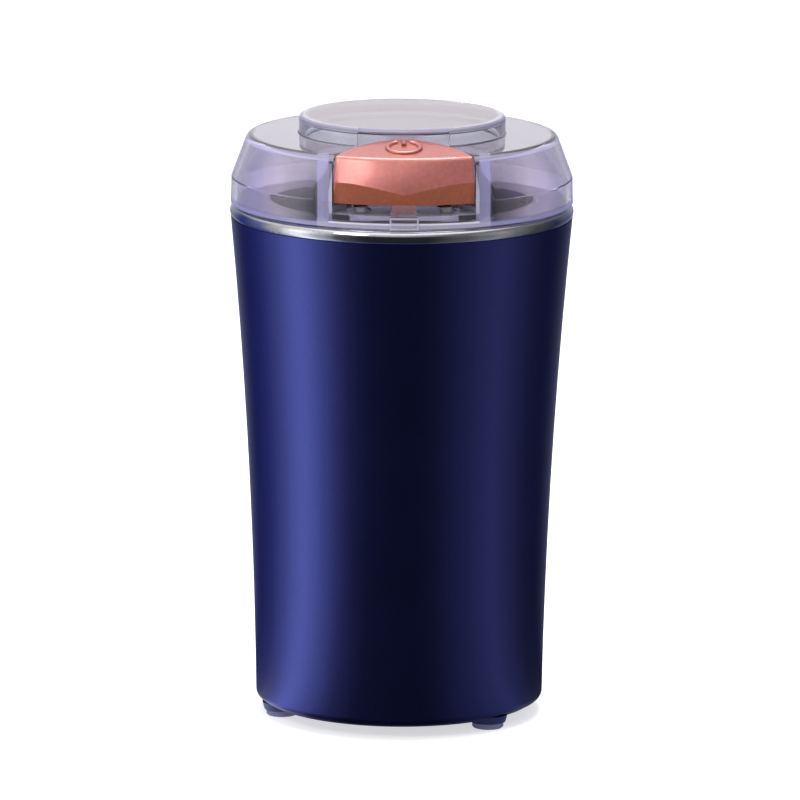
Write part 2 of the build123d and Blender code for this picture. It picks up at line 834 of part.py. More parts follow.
push_rod_coil = coil(
    rod_spring_radius, spring_wire, rod_spring_turns, cage_floor + seat_gap, rod_shoulder - seat_gap
)
push_rod_spring = Pos(0, -tab_radius, 0) * push_rod_coil.part
push_rod_spring.label = "push_rod_spring"
export_step(push_rod_spring, "parts/push_rod_spring.step")


# ---- Motor: brackets, dampers and their screws ----
boss_top = upper_bracket_top + bearing_height + bearing_lip
with BuildPart() as upper_bracket:
    with BuildSketch(Plane.XY.offset(upper_bracket_bottom)):
        Circle(bracket_boss_radius)
        Rectangle(2 * bolt_offset, 4 * leg_radius)
        with Locations((-bolt_offset, 0), (bolt_offset, 0)):
            Circle(2 * leg_radius)
        with PolarLocations(damper_circle / 2, 3, start_angle=90):
            Rectangle(damper_circle, 2 * damper_radius)
        with PolarLocations(damper_circle, 3, start_angle=90):
            Circle(damper_radius)
            Circle(screw_radius + seat_gap, mode=Mode.SUBTRACT)
    extrude(amount=bracket_thickness)
    with BuildSketch(Plane.XY.offset(stack_top)):
        with Locations((-bolt_offset, 0), (bolt_offset, 0)):
            Circle(leg_radius)
    extrude(amount=upper_bracket_bottom - stack_top)
    with BuildSketch(Plane.XY.offset(upper_bracket_top)):
        Circle(bracket_boss_radius)
    extrude(amount=boss_top - upper_bracket_top)
    with Locations((0, 0, boss_top)):
        CounterBoreHole(
            radius=shaft_radius + bearing_lip,
            counter_bore_radius=bearing_radius + bearing_press,
            counter_bore_depth=bearing_height,
        )
    with BuildSketch(Plane.XY.offset(stack_top)):
        with Locations((-bolt_offset, 0), (bolt_offset, 0)):
            Circle(bolt_radius + running_gap)
    extrude(amount=upper_bracket_top - stack_top, mode=Mode.SUBTRACT)
upper_bracket.part.label = "upper_bracket"
export_step(upper_bracket.part, "parts/upper_bracket.step")

holder_width = brush_width + 2 * holder_wall + contact_gap
holder_height = brush_height + 2 * holder_wall + contact_gap
holder_start = commutator_radius + holder_gap
pocket_bottom = lower_bracket_bottom - bearing_height
with BuildPart() as lower_bracket:
    with BuildSketch(Plane.XY.offset(lower_bracket_bottom)):
        Circle(bracket_boss_radius + bracket_rim)
        Rectangle(2 * bolt_offset, 4 * leg_radius)
        Rectangle(holder_width + 2 * bracket_rim, 2 * (holder_start + holder_length))
        with Locations((-bolt_offset, 0), (bolt_offset, 0)):
            Circle(2 * leg_radius)
    extrude(amount=bracket_thickness)
    with BuildSketch(Plane.XY.offset(lower_bracket_top)):
        with Locations((-bolt_offset, 0), (bolt_offset, 0)):
            Circle(leg_radius)
    extrude(amount=stack_bottom - lower_bracket_top)
    with BuildSketch(Plane.XY.offset(pocket_bottom - bearing_floor)):
        Circle(bracket_boss_radius)
    extrude(amount=lower_bracket_bottom - pocket_bottom + bearing_floor)
    with Locations((0, 0, lower_bracket_top)):
        CounterBoreHole(
            radius=shaft_radius + bearing_lip,
            counter_bore_radius=bearing_radius + bearing_press,
            counter_bore_depth=lower_bracket_top - pocket_bottom,
        )
    with BuildSketch(Plane.XY.offset(lower_bracket_bottom)):
        with Locations((-bolt_offset, 0), (bolt_offset, 0)):
            Circle(bolt_radius + running_gap)
    extrude(amount=stack_bottom - lower_bracket_bottom, mode=Mode.SUBTRACT)
lower_bracket.part.label = "lower_bracket"
export_step(lower_bracket.part, "parts/lower_bracket.step")

upper_bearing = ring(shaft_radius + running_gap, bearing_radius, boss_top - bearing_height, boss_top)
upper_bearing.part.label = "upper_bearing"
export_step(upper_bearing.part, "parts/upper_bearing.step")

lower_bearing = ring(
    shaft_radius + running_gap, bearing_radius, pocket_bottom, pocket_bottom + bearing_height
)
lower_bearing.part.label = "lower_bearing"
export_step(lower_bearing.part, "parts/lower_bearing.step")

with BuildPart() as motor_bolts:
    with BuildSketch(Plane.XY.offset(lower_bracket_bottom - bolt_head)):
        with Locations((-bolt_offset, 0), (bolt_offset, 0)):
            RegularPolygon(radius=bolt_flats / 2, side_count=6, major_radius=False)
    extrude(amount=bolt_head)
    with BuildSketch(Plane.XY.offset(lower_bracket_bottom)):
        with Locations((-bolt_offset, 0), (bolt_offset, 0)):
            Circle(bolt_radius)
    extrude(amount=upper_bracket_top - lower_bracket_bottom)
motor_bolts.part.label = "motor_bolts"
export_step(motor_bolts.part, "parts/motor_bolts.step")

with BuildPart() as motor_dampers:
    with BuildSketch(Plane.XY.offset(upper_bracket_top)):
        with PolarLocations(damper_circle, 3, start_angle=90):
            Circle(damper_radius)
            Circle(screw_radius + contact_gap, mode=Mode.SUBTRACT)
    extrude(amount=damper_height)
motor_dampers.part.label = "motor_dampers"
export_step(motor_dampers.part, "parts/motor_dampers.step")

with BuildPart() as damper_screws:
    with BuildSketch(Plane.XY.offset(upper_bracket_bottom - screw_head)):
        with PolarLocations(damper_circle, 3, start_angle=90):
            Circle(screw_head_radius)
    extrude(amount=screw_head)
    with BuildSketch(Plane.XY.offset(upper_bracket_bottom)):
        with PolarLocations(damper_circle, 3, start_angle=90):
            Circle(screw_radius)
    extrude(amount=screw_length + damper_height)
damper_screws.part.label = "damper_screws"
export_step(damper_screws.part, "parts/damper_screws.step")


# ---- Stator: laminated stack with two poles, and the coil around each pole ----
bore_radius = rotor_radius + air_gap
shoe_radius = bore_radius + shoe_thickness
coil_room_length = stator_length - 2 * yoke_width
coil_room_width = stator_width - 2 * yoke_width
with BuildSketch(Plane.XY.offset(stack_bottom)) as pole_shoes:
    Circle(shoe_radius)
    Rectangle(2 * shoe_radius, shoe_width, mode=Mode.INTERSECT)

with BuildPart() as stator_core:
    with BuildSketch(Plane.XY.offset(stack_bottom)):
        RectangleRounded(stator_length, stator_width, stator_corner)
        Rectangle(coil_room_length, coil_room_width, mode=Mode.SUBTRACT)
        Rectangle(coil_room_length, pole_width)
        add(pole_shoes.sketch_local)
        Circle(bore_radius, mode=Mode.SUBTRACT)
        with Locations((-bolt_offset, 0), (bolt_offset, 0)):
            Circle(bolt_radius + seat_gap, mode=Mode.SUBTRACT)
    extrude(amount=stack_height)
stator_core.part.label = "stator_core"
export_step(stator_core.part, "parts/stator_core.step")

coil_start = shoe_radius + contact_gap
coil_inner_width = pole_width + 2 * contact_gap
coil_inner_height = stack_height + 2 * contact_gap
with BuildPart() as field_coils:
    with BuildSketch(Plane.YZ.offset(coil_start)):
        with Locations((0, stack_middle)):
            RectangleRounded(
                coil_inner_width + 2 * coil_width, coil_inner_height + 2 * coil_width, coil_corner
            )
            Rectangle(coil_inner_width, coil_inner_height, mode=Mode.SUBTRACT)
    extrude(amount=coil_thickness)
    mirror(about=Plane.YZ)
field_coils.part.label = "field_coils"
export_step(field_coils.part, "parts/field_coils.step")


# ---- Brush gear: holders on the lower bracket, brushes and their springs ----
brush_middle = lower_bracket_top + holder_foot + holder_height / 2
brush_start = commutator_radius + contact_gap
holder_end = holder_start + holder_length
with BuildPart() as brush_holders:
    with BuildSketch(Plane.XZ.offset(holder_start)):
        with Locations((0, brush_middle)):
            Rectangle(holder_width, holder_height)
    extrude(amount=holder_length)
    with BuildSketch(Plane.XZ.offset(holder_start)):
        with Locations((0, brush_middle)):
            Rectangle(brush_width + contact_gap, brush_height + contact_gap)
    extrude(amount=holder_length - holder_wall, mode=Mode.SUBTRACT)
    with BuildSketch(Plane.XY.offset(lower_bracket_top)):
        with Locations((0, -holder_start - holder_length / 2)):
            Rectangle(holder_width + 2 * holder_foot_rim, holder_length * holder_foot_share)
    extrude(amount=holder_foot)
    mirror(about=Plane.XZ)
brush_holders.part.label = "brush_holders"
export_step(brush_holders.part, "parts/brush_holders.step")

with BuildPart() as carbon_brushes:
    with BuildSketch(Plane.XZ.offset(brush_start)):
        with Locations((0, brush_middle)):
            Rectangle(brush_width, brush_height)
    extrude(amount=brush_length)
    mirror(about=Plane.XZ)
carbon_brushes.part.label = "carbon_brushes"
export_step(carbon_brushes.part, "parts/carbon_brushes.step")

spring_low = brush_start + brush_length + seat_gap
spring_high = holder_end - holder_wall - seat_gap
brush_coil = coil(
    brush_spring_radius, brush_spring_wire, brush_spring_turns, spring_low, spring_high, steps=8
)
front_spring = Pos(0, 0, brush_middle) * Rot(90, 0, 0) * brush_coil.part
back_spring = Pos(0, 0, brush_middle) * Rot(-90, 0, 0) * brush_coil.part
brush_springs = Compound(label="brush_springs", children=[front_spring.solid(), back_spring.solid()])
export_step(brush_springs, "parts/brush_springs.step")


# ---- Rotor: shaft, laminated core, end windings, commutator and fan ----
with BuildPart() as rotor_shaft:
    with BuildSketch(Plane.XY.offset(shaft_bottom)):
        Circle(shaft_radius)
    extrude(amount=shaft_top - shaft_bottom)
    chamfer(rotor_shaft.edges().sort_by(Axis.Z)[-1], shaft_chamfer)
rotor_shaft.part.label = "rotor_shaft"
export_step(rotor_shaft.part, "parts/rotor_shaft.step")

with BuildPart() as rotor_core:
    with BuildSketch(Plane.XY.offset(stack_bottom)):
        Circle(rotor_radius)
        Circle(shaft_radius + running_gap, mode=Mode.SUBTRACT)
        with PolarLocations(rotor_radius - slot_depth / 2 + loose_gap, rotor_slots):
            Rectangle(slot_depth, slot_width, mode=Mode.SUBTRACT)
    extrude(amount=stack_height)
rotor_core.part.label = "rotor_core"
export_step(rotor_core.part, "parts/rotor_core.step")

with BuildPart() as rotor_windings:
    with BuildSketch(Plane.XZ):
        with BuildLine():
            Polyline(
                (shaft_radius + running_gap, stack_top),
                (winding_radius, stack_top),
                (winding_radius, stack_top + winding_height - winding_shoulder),
                (winding_radius - winding_shoulder, stack_top + winding_height),
                (shaft_radius + running_gap, stack_top + winding_height),
                close=True,
            )
        make_face()
    revolve(axis=Axis.Z)
    mirror(about=Plane.XY.offset(stack_middle))
rotor_windings.part.label = "rotor_windings"
export_step(rotor_windings.part, "parts/rotor_windings.step")

commutator_bottom = brush_middle - commutator_height / 2
with BuildPart() as commutator:
    with BuildSketch(Plane.XY.offset(commutator_bottom)):
        Circle(commutator_radius)
        Circle(shaft_radius + running_gap, mode=Mode.SUBTRACT)
        with PolarLocations(commutator_radius, rotor_slots):
            Rectangle(commutator_slot_depth, commutator_slot_width, mode=Mode.SUBTRACT)
    extrude(amount=commutator_height)
commutator.part.label = "commutator"
export_step(commutator.part, "parts/commutator.step")

with BuildPart() as cooling_fan:
    with BuildSketch(Plane.XY.offset(fan_top - fan_disc)):
        Circle(fan_radius)
    extrude(amount=fan_disc)
    with BuildSketch(Plane.XY.offset(fan_bottom)):
        Circle(2 * shaft_radius)
        with PolarLocations((fan_radius + 2 * shaft_radius) / 2 - contact_gap, fan_blades):
            Rectangle(fan_radius - 2 * shaft_radius, fan_blade_thickness)
    extrude(amount=fan_blade_height - fan_disc)
    with Locations((0, 0, fan_top)):
        Hole(shaft_radius + running_gap, depth=fan_blade_height)
cooling_fan.part.label = "cooling_fan"
export_step(cooling_fan.part, "parts/cooling_fan.step")


# ---- Blade: two bent wings between a hub and a cap nut ----
blade_hub = ring(shaft_radius + running_gap, hub_radius, hub_bottom, blade_bottom)
blade_hub.part.label = "blade_hub"
export_step(blade_hub.part, "parts/blade_hub.step")

half_width = blade_width / 2
belly = half_width + blade_belly
hook = half_width - blade_hook
corner_reach = blade_reach - blade_tip_cut
with BuildPart() as grinding_blade:
    with BuildSketch(Plane.XY.offset(bowl_floor)):
        with BuildLine():
            back = Line((-blade_flat, half_width), (blade_flat, half_width))
            right_back = ThreePointArc(back @ 1, (2 * blade_flat, belly), (corner_reach, half_width))
            right_tip = Line(right_back @ 1, (blade_reach, blade_tip_width))
            right_front = ThreePointArc(right_tip @ 1, (2 * blade_flat, -hook), (blade_flat, -half_width))
            front = Line(right_front @ 1, (-blade_flat, -half_width))
            left_front = ThreePointArc(front @ 1, (-2 * blade_flat, -belly), (-corner_reach, -half_width))
            left_tip = Line(left_front @ 1, (-blade_reach, -blade_tip_width))
            ThreePointArc(left_tip @ 1, (-2 * blade_flat, hook), back @ 0)
        make_face()
    extrude(amount=blade_top - bowl_floor + blade_lift)
    with BuildSketch(Plane.XZ.offset(-blade_width)):
        with BuildLine():
            Polyline(
                (-blade_reach - 1, blade_bottom - blade_drop),
                (-blade_flat, blade_bottom),
                (blade_flat, blade_bottom),
                (blade_reach + 1, blade_bottom + blade_lift - blade_thickness),
                (blade_reach + 1, blade_top + blade_lift - blade_thickness),
                (blade_flat, blade_top),
                (-blade_flat, blade_top),
                (-blade_reach - 1, blade_top - blade_drop),
                close=True,
            )
        make_face()
    extrude(amount=2 * blade_width, mode=Mode.INTERSECT)
    with Locations((0, 0, blade_top)):
        Hole(shaft_radius + running_gap, depth=blade_thickness)
grinding_blade.part.label = "grinding_blade"
export_step(grinding_blade.part, "parts/grinding_blade.step")

with BuildPart() as blade_nut:
    with BuildSketch(Plane.XY.offset(blade_top)):
        RegularPolygon(radius=cap_nut_flats / 2, side_count=6, major_radius=False)
    extrude(amount=cap_nut_height)
    with BuildSketch(Plane.XY.offset(blade_top + cap_nut_height)):
        Circle(cap_nut_flats / 2 - contact_gap)
    extrude(amount=cap_nut_dome, taper=cap_nut_slope)
    with BuildSketch(Plane.XY.offset(blade_top)):
        Circle(shaft_radius + running_gap)
    extrude(amount=shaft_top - blade_top + loose_gap, mode=Mode.SUBTRACT)
blade_nut.part.label = "blade_nut"
export_step(blade_nut.part, "parts/blade_nut.step")


# ---- Lid cover: clear turned shell with a raised disc, and a pocket for the button between two cheeks ----
skirt_top = lid_bottom + lid_skirt_height
shoulder_top = rim_top + lid_shoulder_height
annulus_top = shoulder_top + lid_annulus_rise
lid_top = annulus_top + lid_disc_rise
pocket_radius = button_arc_radius + button_clearance
cheek_inner = button_half_width + cheek_gap
cheek_middle = cheek_inner + cheek_thickness / 2
cheek_back = lid_skirt_radius - cheek_depth / 2
with BuildPart() as lid_envelope:
    with BuildSketch(Plane.XZ):
        with BuildLine():
            outline = FilletPolyline(
                (lid_skirt_radius - lid_skirt_taper, skirt_top),
                (lid_shoulder_radius, shoulder_top),
                (lid_disc_radius, annulus_top),
                (lid_disc_radius, lid_top),
                (0, lid_top),
                radius=[lid_shoulder_round, lid_disc_foot_round, lid_disc_round],
            )
            Polyline(outline @ 1, (0, lid_bottom), (lid_skirt_radius, lid_bottom), outline @ 0)
        make_face()
    revolve(axis=Axis.Z)

with BuildPart() as pocket_walls:
    with BuildSketch(Plane.XY.offset(pocket_top - pocket_floor)):
        with Locations((0, -button_arc_centre)):
            Circle(pocket_radius + pocket_wall)
        with Locations((-cheek_middle, -cheek_back), (cheek_middle, -cheek_back)):
            Rectangle(cheek_thickness, cheek_depth)
    extrude(amount=lid_top)
    add(lid_envelope.part, mode=Mode.INTERSECT)

with BuildPart() as lid_cover:
    add(lid_envelope.part)
    with BuildSketch(Plane.XZ):
        with BuildLine():
            Polyline(
                (lid_skirt_radius - lid_wall, lid_bottom),
                (lid_skirt_radius - lid_skirt_taper - lid_wall, skirt_top - lid_wall / 4),
                (lid_shoulder_radius - lid_wall, shoulder_top - lid_wall),
                (lid_disc_radius - lid_wall, annulus_top - lid_wall),
                (lid_disc_radius - lid_wall, lid_top - lid_wall),
                (0, lid_top - lid_wall),
                (0, lid_bottom),
                close=True,
            )
        make_face()
    revolve(axis=Axis.Z, mode=Mode.SUBTRACT)
    add(pocket_walls.part)
    with BuildSketch(Plane.XY.offset(pocket_top)):
        with Locations((0, -button_arc_centre)):
            Circle(pocket_radius)
        Rectangle(2 * cheek_inner, 4 * button_arc_centre, mode=Mode.INTERSECT)
    extrude(amount=lid_top, mode=Mode.SUBTRACT)
    with BuildSketch(Plane.XY.offset(annulus_top)):
        Circle(lid_disc_radius + recess_depth)
        Circle(lid_disc_radius - recess_depth, mode=Mode.SUBTRACT)
        with Locations((0, -lid_disc_radius)):
            Rectangle(recess_width, lid_disc_radius, mode=Mode.INTERSECT)
    extrude(amount=2 * lid_disc_rise, mode=Mode.SUBTRACT)
    with BuildSketch(Plane.XY.offset(pocket_top)):
        with Locations((-guide_post_spread, -guide_post_back), (guide_post_spread, -guide_post_back)):
            Circle(guide_post_radius)
    extrude(amount=guide_post_height)
    with BuildSketch(Plane.XY.offset(lid_bottom)):
        with Locations((0, -(slot_front + slot_back) / 2)):
            Rectangle(2 * slot_half, slot_front - slot_back)
    extrude(amount=pocket_top - lid_bottom, mode=Mode.SUBTRACT)
lid_cover.part.label = "lid_cover"
export_step(lid_cover.part, "parts/lid_cover.step")


# ---- Lid insert: web welded into the skirt, with a lip that drops into the bowl, and its seal ----
lip_inner = insert_lip_radius - insert_lip_wall
lip_bottom = lid_bottom - insert_lip_depth
seal_low = rim_top - seal_drop
seal_root = insert_lip_radius - seal_depth
with BuildPart() as lid_insert:
    with BuildSketch(Plane.XZ):
        with BuildLine():
            Polyline(
                (lip_inner, lip_bottom),
                (insert_lip_radius, lip_bottom),
                (insert_lip_radius, seal_low),
                (seal_root, seal_low),
                (seal_root, seal_low + seal_height),
                (insert_lip_radius, seal_low + seal_height),
                (insert_lip_radius, lid_bottom),
                (lid_skirt_radius - lid_wall - seat_gap, lid_bottom),
                (lid_skirt_radius - lid_wall - seat_gap, lid_bottom + insert_web),
                (lip_inner, lid_bottom + insert_web),
                close=True,
            )
        make_face()
    revolve(axis=Axis.Z)
    with BuildSketch(Plane.XY.offset(lid_bottom)):
        with Locations((0, -(slot_front + slot_back) / 2)):
            Rectangle(2 * slot_half, slot_front - slot_back)
    extrude(amount=insert_web, mode=Mode.SUBTRACT)
lid_insert.part.label = "lid_insert"
export_step(lid_insert.part, "parts/lid_insert.step")

lid_seal = ring(seal_root, insert_lip_radius + seal_proud, seal_low, seal_low + seal_height)
lid_seal.part.label = "lid_seal"
export_step(lid_seal.part, "parts/lid_seal.step")


# ---- Push button: lens-shaped cap whose front crest dips to the middle, with a tab down to the rod ----
button_back_top = button_front_top + (button_top_radius - button_root_radius) * button_top_slope
with BuildPart() as button_wedge:
    for step in range(button_sections):
        turn = radians(button_sweep * step / (button_sections - 1))
        rise = sin(min(step / (button_sections - 1) / button_crest_reach, 1.0) * pi / 2)
        crest = button_bottom + button_crest_middle + (button_crest_end - button_crest_middle) * rise
        crest_radius = button_top_radius + (button_front_top - crest) * button_proud_slope
        across = Plane((0, 0, 0), x_dir=(sin(turn), -cos(turn), 0), z_dir=(-cos(turn), -sin(turn), 0))
        with BuildSketch(across):
            with BuildLine():
                Polyline(
                    (button_root_radius, button_bottom),
                    (button_foot_radius, button_bottom),
                    (crest_radius, crest),
                    (button_top_radius, button_front_top),
                    (button_root_radius, button_back_top),
                    close=True,
                )
            make_face()
    loft()
    mirror(about=Plane.YZ)

with BuildPart() as button_cap:
    add(button_wedge.part)
    with BuildSketch(Plane.XY.offset(button_bottom)):
        with Locations((0, -button_arc_centre)):
            Circle(button_arc_radius)
            Rectangle(2 * button_half_width, 2 * button_arc_radius, mode=Mode.INTERSECT)
    extrude(amount=button_back_top - button_bottom, mode=Mode.INTERSECT)
    with BuildSketch(Plane.XY.offset(button_bottom)):
        with Locations((0, -button_arc_centre)):
            Circle(button_arc_radius - button_wall)
            Rectangle(2 * (button_half_width - button_wall), 2 * button_arc_radius, mode=Mode.INTERSECT)
        Circle(button_foot_radius - button_front_wall, mode=Mode.INTERSECT)
    extrude(amount=button_ceiling, mode=Mode.SUBTRACT)
    with BuildSketch(Plane.XY.offset(tab_bottom)):
        with Locations((0, -tab_radius)):
            Rectangle(tab_width, tab_thickness)
    extrude(amount=button_bottom + button_ceiling + tab_root - tab_bottom)
button_cap.part.label = "button_cap"
export_step(button_cap.part, "parts/button_cap.step")

ceiling_height = button_bottom + button_ceiling
button_coil = coil(
    button_spring_radius, spring_wire, button_spring_turns, pocket_top + seat_gap, ceiling_height - seat_gap
)
left_spring = Pos(-guide_post_spread, -guide_post_back, 0) * button_coil.part
right_spring = Pos(guide_post_spread, -guide_post_back, 0) * button_coil.part
button_springs = Compound(label="button_springs", children=[left_spring.solid(), right_spring.solid()])
export_step(button_springs, "parts/button_springs.step")
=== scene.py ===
"""Electric spice grinder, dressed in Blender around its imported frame. Lengths are in metres."""

import math

import bmesh
import bpy
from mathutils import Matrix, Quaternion, Vector


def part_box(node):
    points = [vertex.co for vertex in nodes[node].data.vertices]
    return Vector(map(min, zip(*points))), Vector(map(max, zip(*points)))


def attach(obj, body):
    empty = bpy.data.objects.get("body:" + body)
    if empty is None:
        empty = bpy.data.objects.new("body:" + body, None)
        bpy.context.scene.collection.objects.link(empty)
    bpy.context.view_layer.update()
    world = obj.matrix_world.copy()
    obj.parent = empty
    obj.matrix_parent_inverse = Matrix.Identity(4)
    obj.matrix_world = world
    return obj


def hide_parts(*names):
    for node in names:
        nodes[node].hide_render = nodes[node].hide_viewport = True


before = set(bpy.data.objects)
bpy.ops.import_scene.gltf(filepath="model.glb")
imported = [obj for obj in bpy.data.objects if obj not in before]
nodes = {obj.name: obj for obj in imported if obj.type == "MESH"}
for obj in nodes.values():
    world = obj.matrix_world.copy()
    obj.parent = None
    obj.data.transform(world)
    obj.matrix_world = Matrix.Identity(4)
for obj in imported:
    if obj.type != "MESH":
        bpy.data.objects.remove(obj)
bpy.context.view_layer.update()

# ---- Stage ----
# The room behind the object and the floor are white. The side where the viewer stands is dark up to
# the height of a person, with a bright wall at the left and a weaker one at the right, as black flags
# and reflectors leave it in a studio. The ceiling is brighter at the left, with a ring of white panels.


def linear(code):
    """An sRGB hex colour as linear red, green, blue and alpha."""
    parts = [int(code[i:i + 2], 16) / 255 for i in (1, 3, 5)]
    return [c / 12.92 if c <= 0.04045 else ((c + 0.055) / 1.055) ** 2.4 for c in parts] + [1.0]


def add(tree, kind, inputs=None, stops=(), **settings):
    """Adds a node with its settings, a value or an output for each input, and the stops of its ramp."""
    node = tree.nodes.new(kind)
    for name, value in settings.items():
        setattr(node, name, value)
    for key, value in (inputs or {}).items():
        if isinstance(value, bpy.types.NodeSocket):
            tree.links.new(value, node.inputs[key])
        else:
            node.inputs[key].default_value = value
    for i, (spot, colour) in enumerate(stops):
        element = node.color_ramp.elements[i] if i < 2 else node.color_ramp.elements.new(spot)
        element.position = spot
        element.color = linear(colour) if isinstance(colour, str) else (colour, colour, colour, 1.0)
    return node


def surround(tree, place):
    """What the room and the table reflect in each direction: left is -90 degrees, the back is 180."""
    split = add(tree, "ShaderNodeSeparateXYZ", {0: place})
    towards = add(tree, "ShaderNodeMath", {0: split.outputs["Y"], 1: -1.0}, operation="MULTIPLY").outputs[0]
    bearing = add(tree, "ShaderNodeMath", {0: split.outputs["X"], 1: towards}, operation="ARCTAN2").outputs[0]
    turn = add(tree, "ShaderNodeMapRange", {"Value": bearing, "From Min": -math.pi, "From Max": math.pi}).outputs[0]
    levels = [(-180, 1.0), (-160, "#a4a6b8"), (-134, "#3e4684"), (-112, "#6c74a6"), (-95, 0.62), (-74, 1.75),
              (-56, 0.70), (-42, 0.12), (-24, 0.032), (15, 0.032), (42, 0.15), (56, 0.28), (70, 0.40),
              (84, 0.22), (102, 0.09), (124, "#3c3e56"), (144, "#6c6e88"), (162, "#9c9db0"), (180, 1.0)]
    stops = [((degrees + 180) / 360, level) for degrees, level in levels]
    node = add(tree, "ShaderNodeValToRGB", {"Fac": turn}, stops)
    node.color_ramp.interpolation = "EASE"
    return node.outputs["Color"]


def seen(tree, place):
    """One for what the camera sees, straight or through clear plastic, and zero for other light."""
    path = add(tree, "ShaderNodeLightPath").outputs
    ahead = add(tree, "ShaderNodeVectorMath", {0: place}, operation="NORMALIZE").outputs[0]
    rise = add(tree, "ShaderNodeSeparateXYZ", {0: ahead}).outputs["Z"]
    level = add(tree, "ShaderNodeMapRange", {"Value": rise, "From Min": 0.45, "From Max": 0.20},
                interpolation_type="SMOOTHSTEP").outputs[0]
    through = add(tree, "ShaderNodeMath", {0: path["Is Transmission Ray"], 1: level}, operation="MULTIPLY").outputs[0]
    return add(tree, "ShaderNodeMath", {0: path["Is Camera Ray"], 1: through}, operation="MAXIMUM").outputs[0]


world = bpy.data.worlds.new("studio")
bpy.context.scene.world = world
world.use_nodes = True
tree = world.node_tree
tree.nodes.clear()
direction = add(tree, "ShaderNodeTexCoord").outputs["Generated"]
split = add(tree, "ShaderNodeSeparateXYZ", {0: direction}).outputs
raised = add(tree, "ShaderNodeMapRange", {"Value": split["Z"], "From Min": 0.20, "From Max": 0.62},
             interpolation_type="SMOOTHSTEP").outputs[0]
across = add(tree, "ShaderNodeMapRange", {"Value": split["X"], "From Min": -1.0, "From Max": 1.0}).outputs[0]
ceiling = add(tree, "ShaderNodeValToRGB", {"Fac": across}, [(0.25, "#f6f4f8"), (0.5, "#dcdadf"), (0.75, "#86848a")])
panel = add(tree, "ShaderNodeValToRGB", {"Fac": split["Z"]},
            [(0.64, 0.0), (0.82, 1.0), (0.93, 1.0), (0.98, 0.0)]).outputs["Color"]
top = add(tree, "ShaderNodeMix", {0: panel, 6: ceiling.outputs["Color"], 7: (1.5, 1.5, 1.5, 1.0)},
          data_type="RGBA").outputs[2]
walls = add(tree, "ShaderNodeMix", {0: raised, 6: surround(tree, direction), 7: top}, data_type="RGBA").outputs[2]
diffuse = add(tree, "ShaderNodeLightPath").outputs["Is Diffuse Ray"]
even = add(tree, "ShaderNodeMix", {0: diffuse, 6: walls, 7: linear("#b4b4b8")}, data_type="RGBA").outputs[2]
colour = add(tree, "ShaderNodeMix", {0: seen(tree, direction), 6: even, 7: linear("#ffffff")},
             data_type="RGBA").outputs[2]
room = add(tree, "ShaderNodeBackground", {"Color": colour, "Strength": 1.0})
add(tree, "ShaderNodeOutputWorld", {"Surface": room.outputs[0]})

floor_reach = 6.0
mesh = bpy.data.meshes.new("floor")
mesh.from_pydata([(-floor_reach, -floor_reach, 0), (floor_reach, -floor_reach, 0),
                  (floor_reach, floor_reach, 0), (-floor_reach, floor_reach, 0)], [], [(0, 1, 2, 3)])
floor = bpy.data.objects.new("floor", mesh)
bpy.context.scene.collection.objects.link(floor)
card = bpy.data.materials.new("matt white card")
card.use_nodes = True
tree = card.node_tree
tree.nodes.clear()
place = add(tree, "ShaderNodeTexCoord").outputs["Object"]
cool = add(tree, "ShaderNodeMix", {0: 1.0, 6: surround(tree, place), 7: (0.94, 0.98, 1.12, 1.0)},
           data_type="RGBA", blend_type="MULTIPLY").outputs[2]
table = add(tree, "ShaderNodeEmission", {"Color": cool, "Strength": 0.8})
matt = add(tree, "ShaderNodeBsdfDiffuse", {"Color": linear("#f2f2f4")})
glow = add(tree, "ShaderNodeEmission", {"Color": linear("#ffffff"), "Strength": 0.6})
lifted = add(tree, "ShaderNodeAddShader", {0: matt.outputs[0], 1: glow.outputs[0]})
diffuse = add(tree, "ShaderNodeLightPath").outputs["Is Diffuse Ray"]
bright = add(tree, "ShaderNodeMath", {0: seen(tree, place), 1: diffuse}, operation="MAXIMUM").outputs[0]
both = add(tree, "ShaderNodeMixShader", {0: bright, 1: table.outputs[0], 2: lifted.outputs[0]})
add(tree, "ShaderNodeOutputMaterial", {"Surface": both.outputs[0]})
mesh.materials.append(card)


def soft_box(name, place, aim, width, height, power):
    """A rectangular studio lamp that faces a point."""
    lamp = bpy.data.lights.new(name, "AREA")
    lamp.shape = "RECTANGLE"
    lamp.size = width
    lamp.size_y = height
    lamp.energy = power
    holder = bpy.data.objects.new(name, lamp)
    bpy.context.scene.collection.objects.link(holder)
    holder.location = place
    holder.rotation_mode = "QUATERNION"
    holder.rotation_quaternion = (Vector(aim) - Vector(place)).to_track_quat("-Z", "Y")


middle = (0, 0, 0.09)
soft_box("front box", (-0.75, -0.95, 1.00), middle, 0.50, 0.40, 4)
soft_box("top box", (0, 0.20, 1.20), middle, 0.70, 0.70, 10)

# The camera stands a little above the lid and a hair to the left of the button's middle.
azimuth, elevation, roll = math.radians(-0.8), math.radians(11.15), math.radians(0.33)
camera_distance = 2.343
aim = Vector((-0.0002, 0, 0.0927))
sensor_width, focal_pixels, frame_pixels = 36.0, 7960, 800
back = Vector((math.sin(azimuth) * math.cos(elevation), -math.cos(azimuth) * math.cos(elevation), math.sin(elevation)))
camera = bpy.data.objects.new("camera", bpy.data.cameras.new("camera"))
bpy.context.scene.collection.objects.link(camera)
camera.data.sensor_width = sensor_width
camera.data.lens = sensor_width * focal_pixels / frame_pixels
camera.location = aim + back * camera_distance
camera.rotation_mode = "QUATERNION"
camera.rotation_quaternion = (-back).to_track_quat("-Z", "Y") @ Quaternion((0, 0, 1), roll)
bpy.context.scene.camera = camera
bpy.context.scene.view_settings.view_transform = "Standard"

# ---- Body sleeve ----
# A deep-drawn steel can, flanged in at the bottom. It is sprayed with a satin metallic lacquer:
# fine flake under a clear coat, so it glows beside the lamps and goes nearly black between them.
MM = 0.001


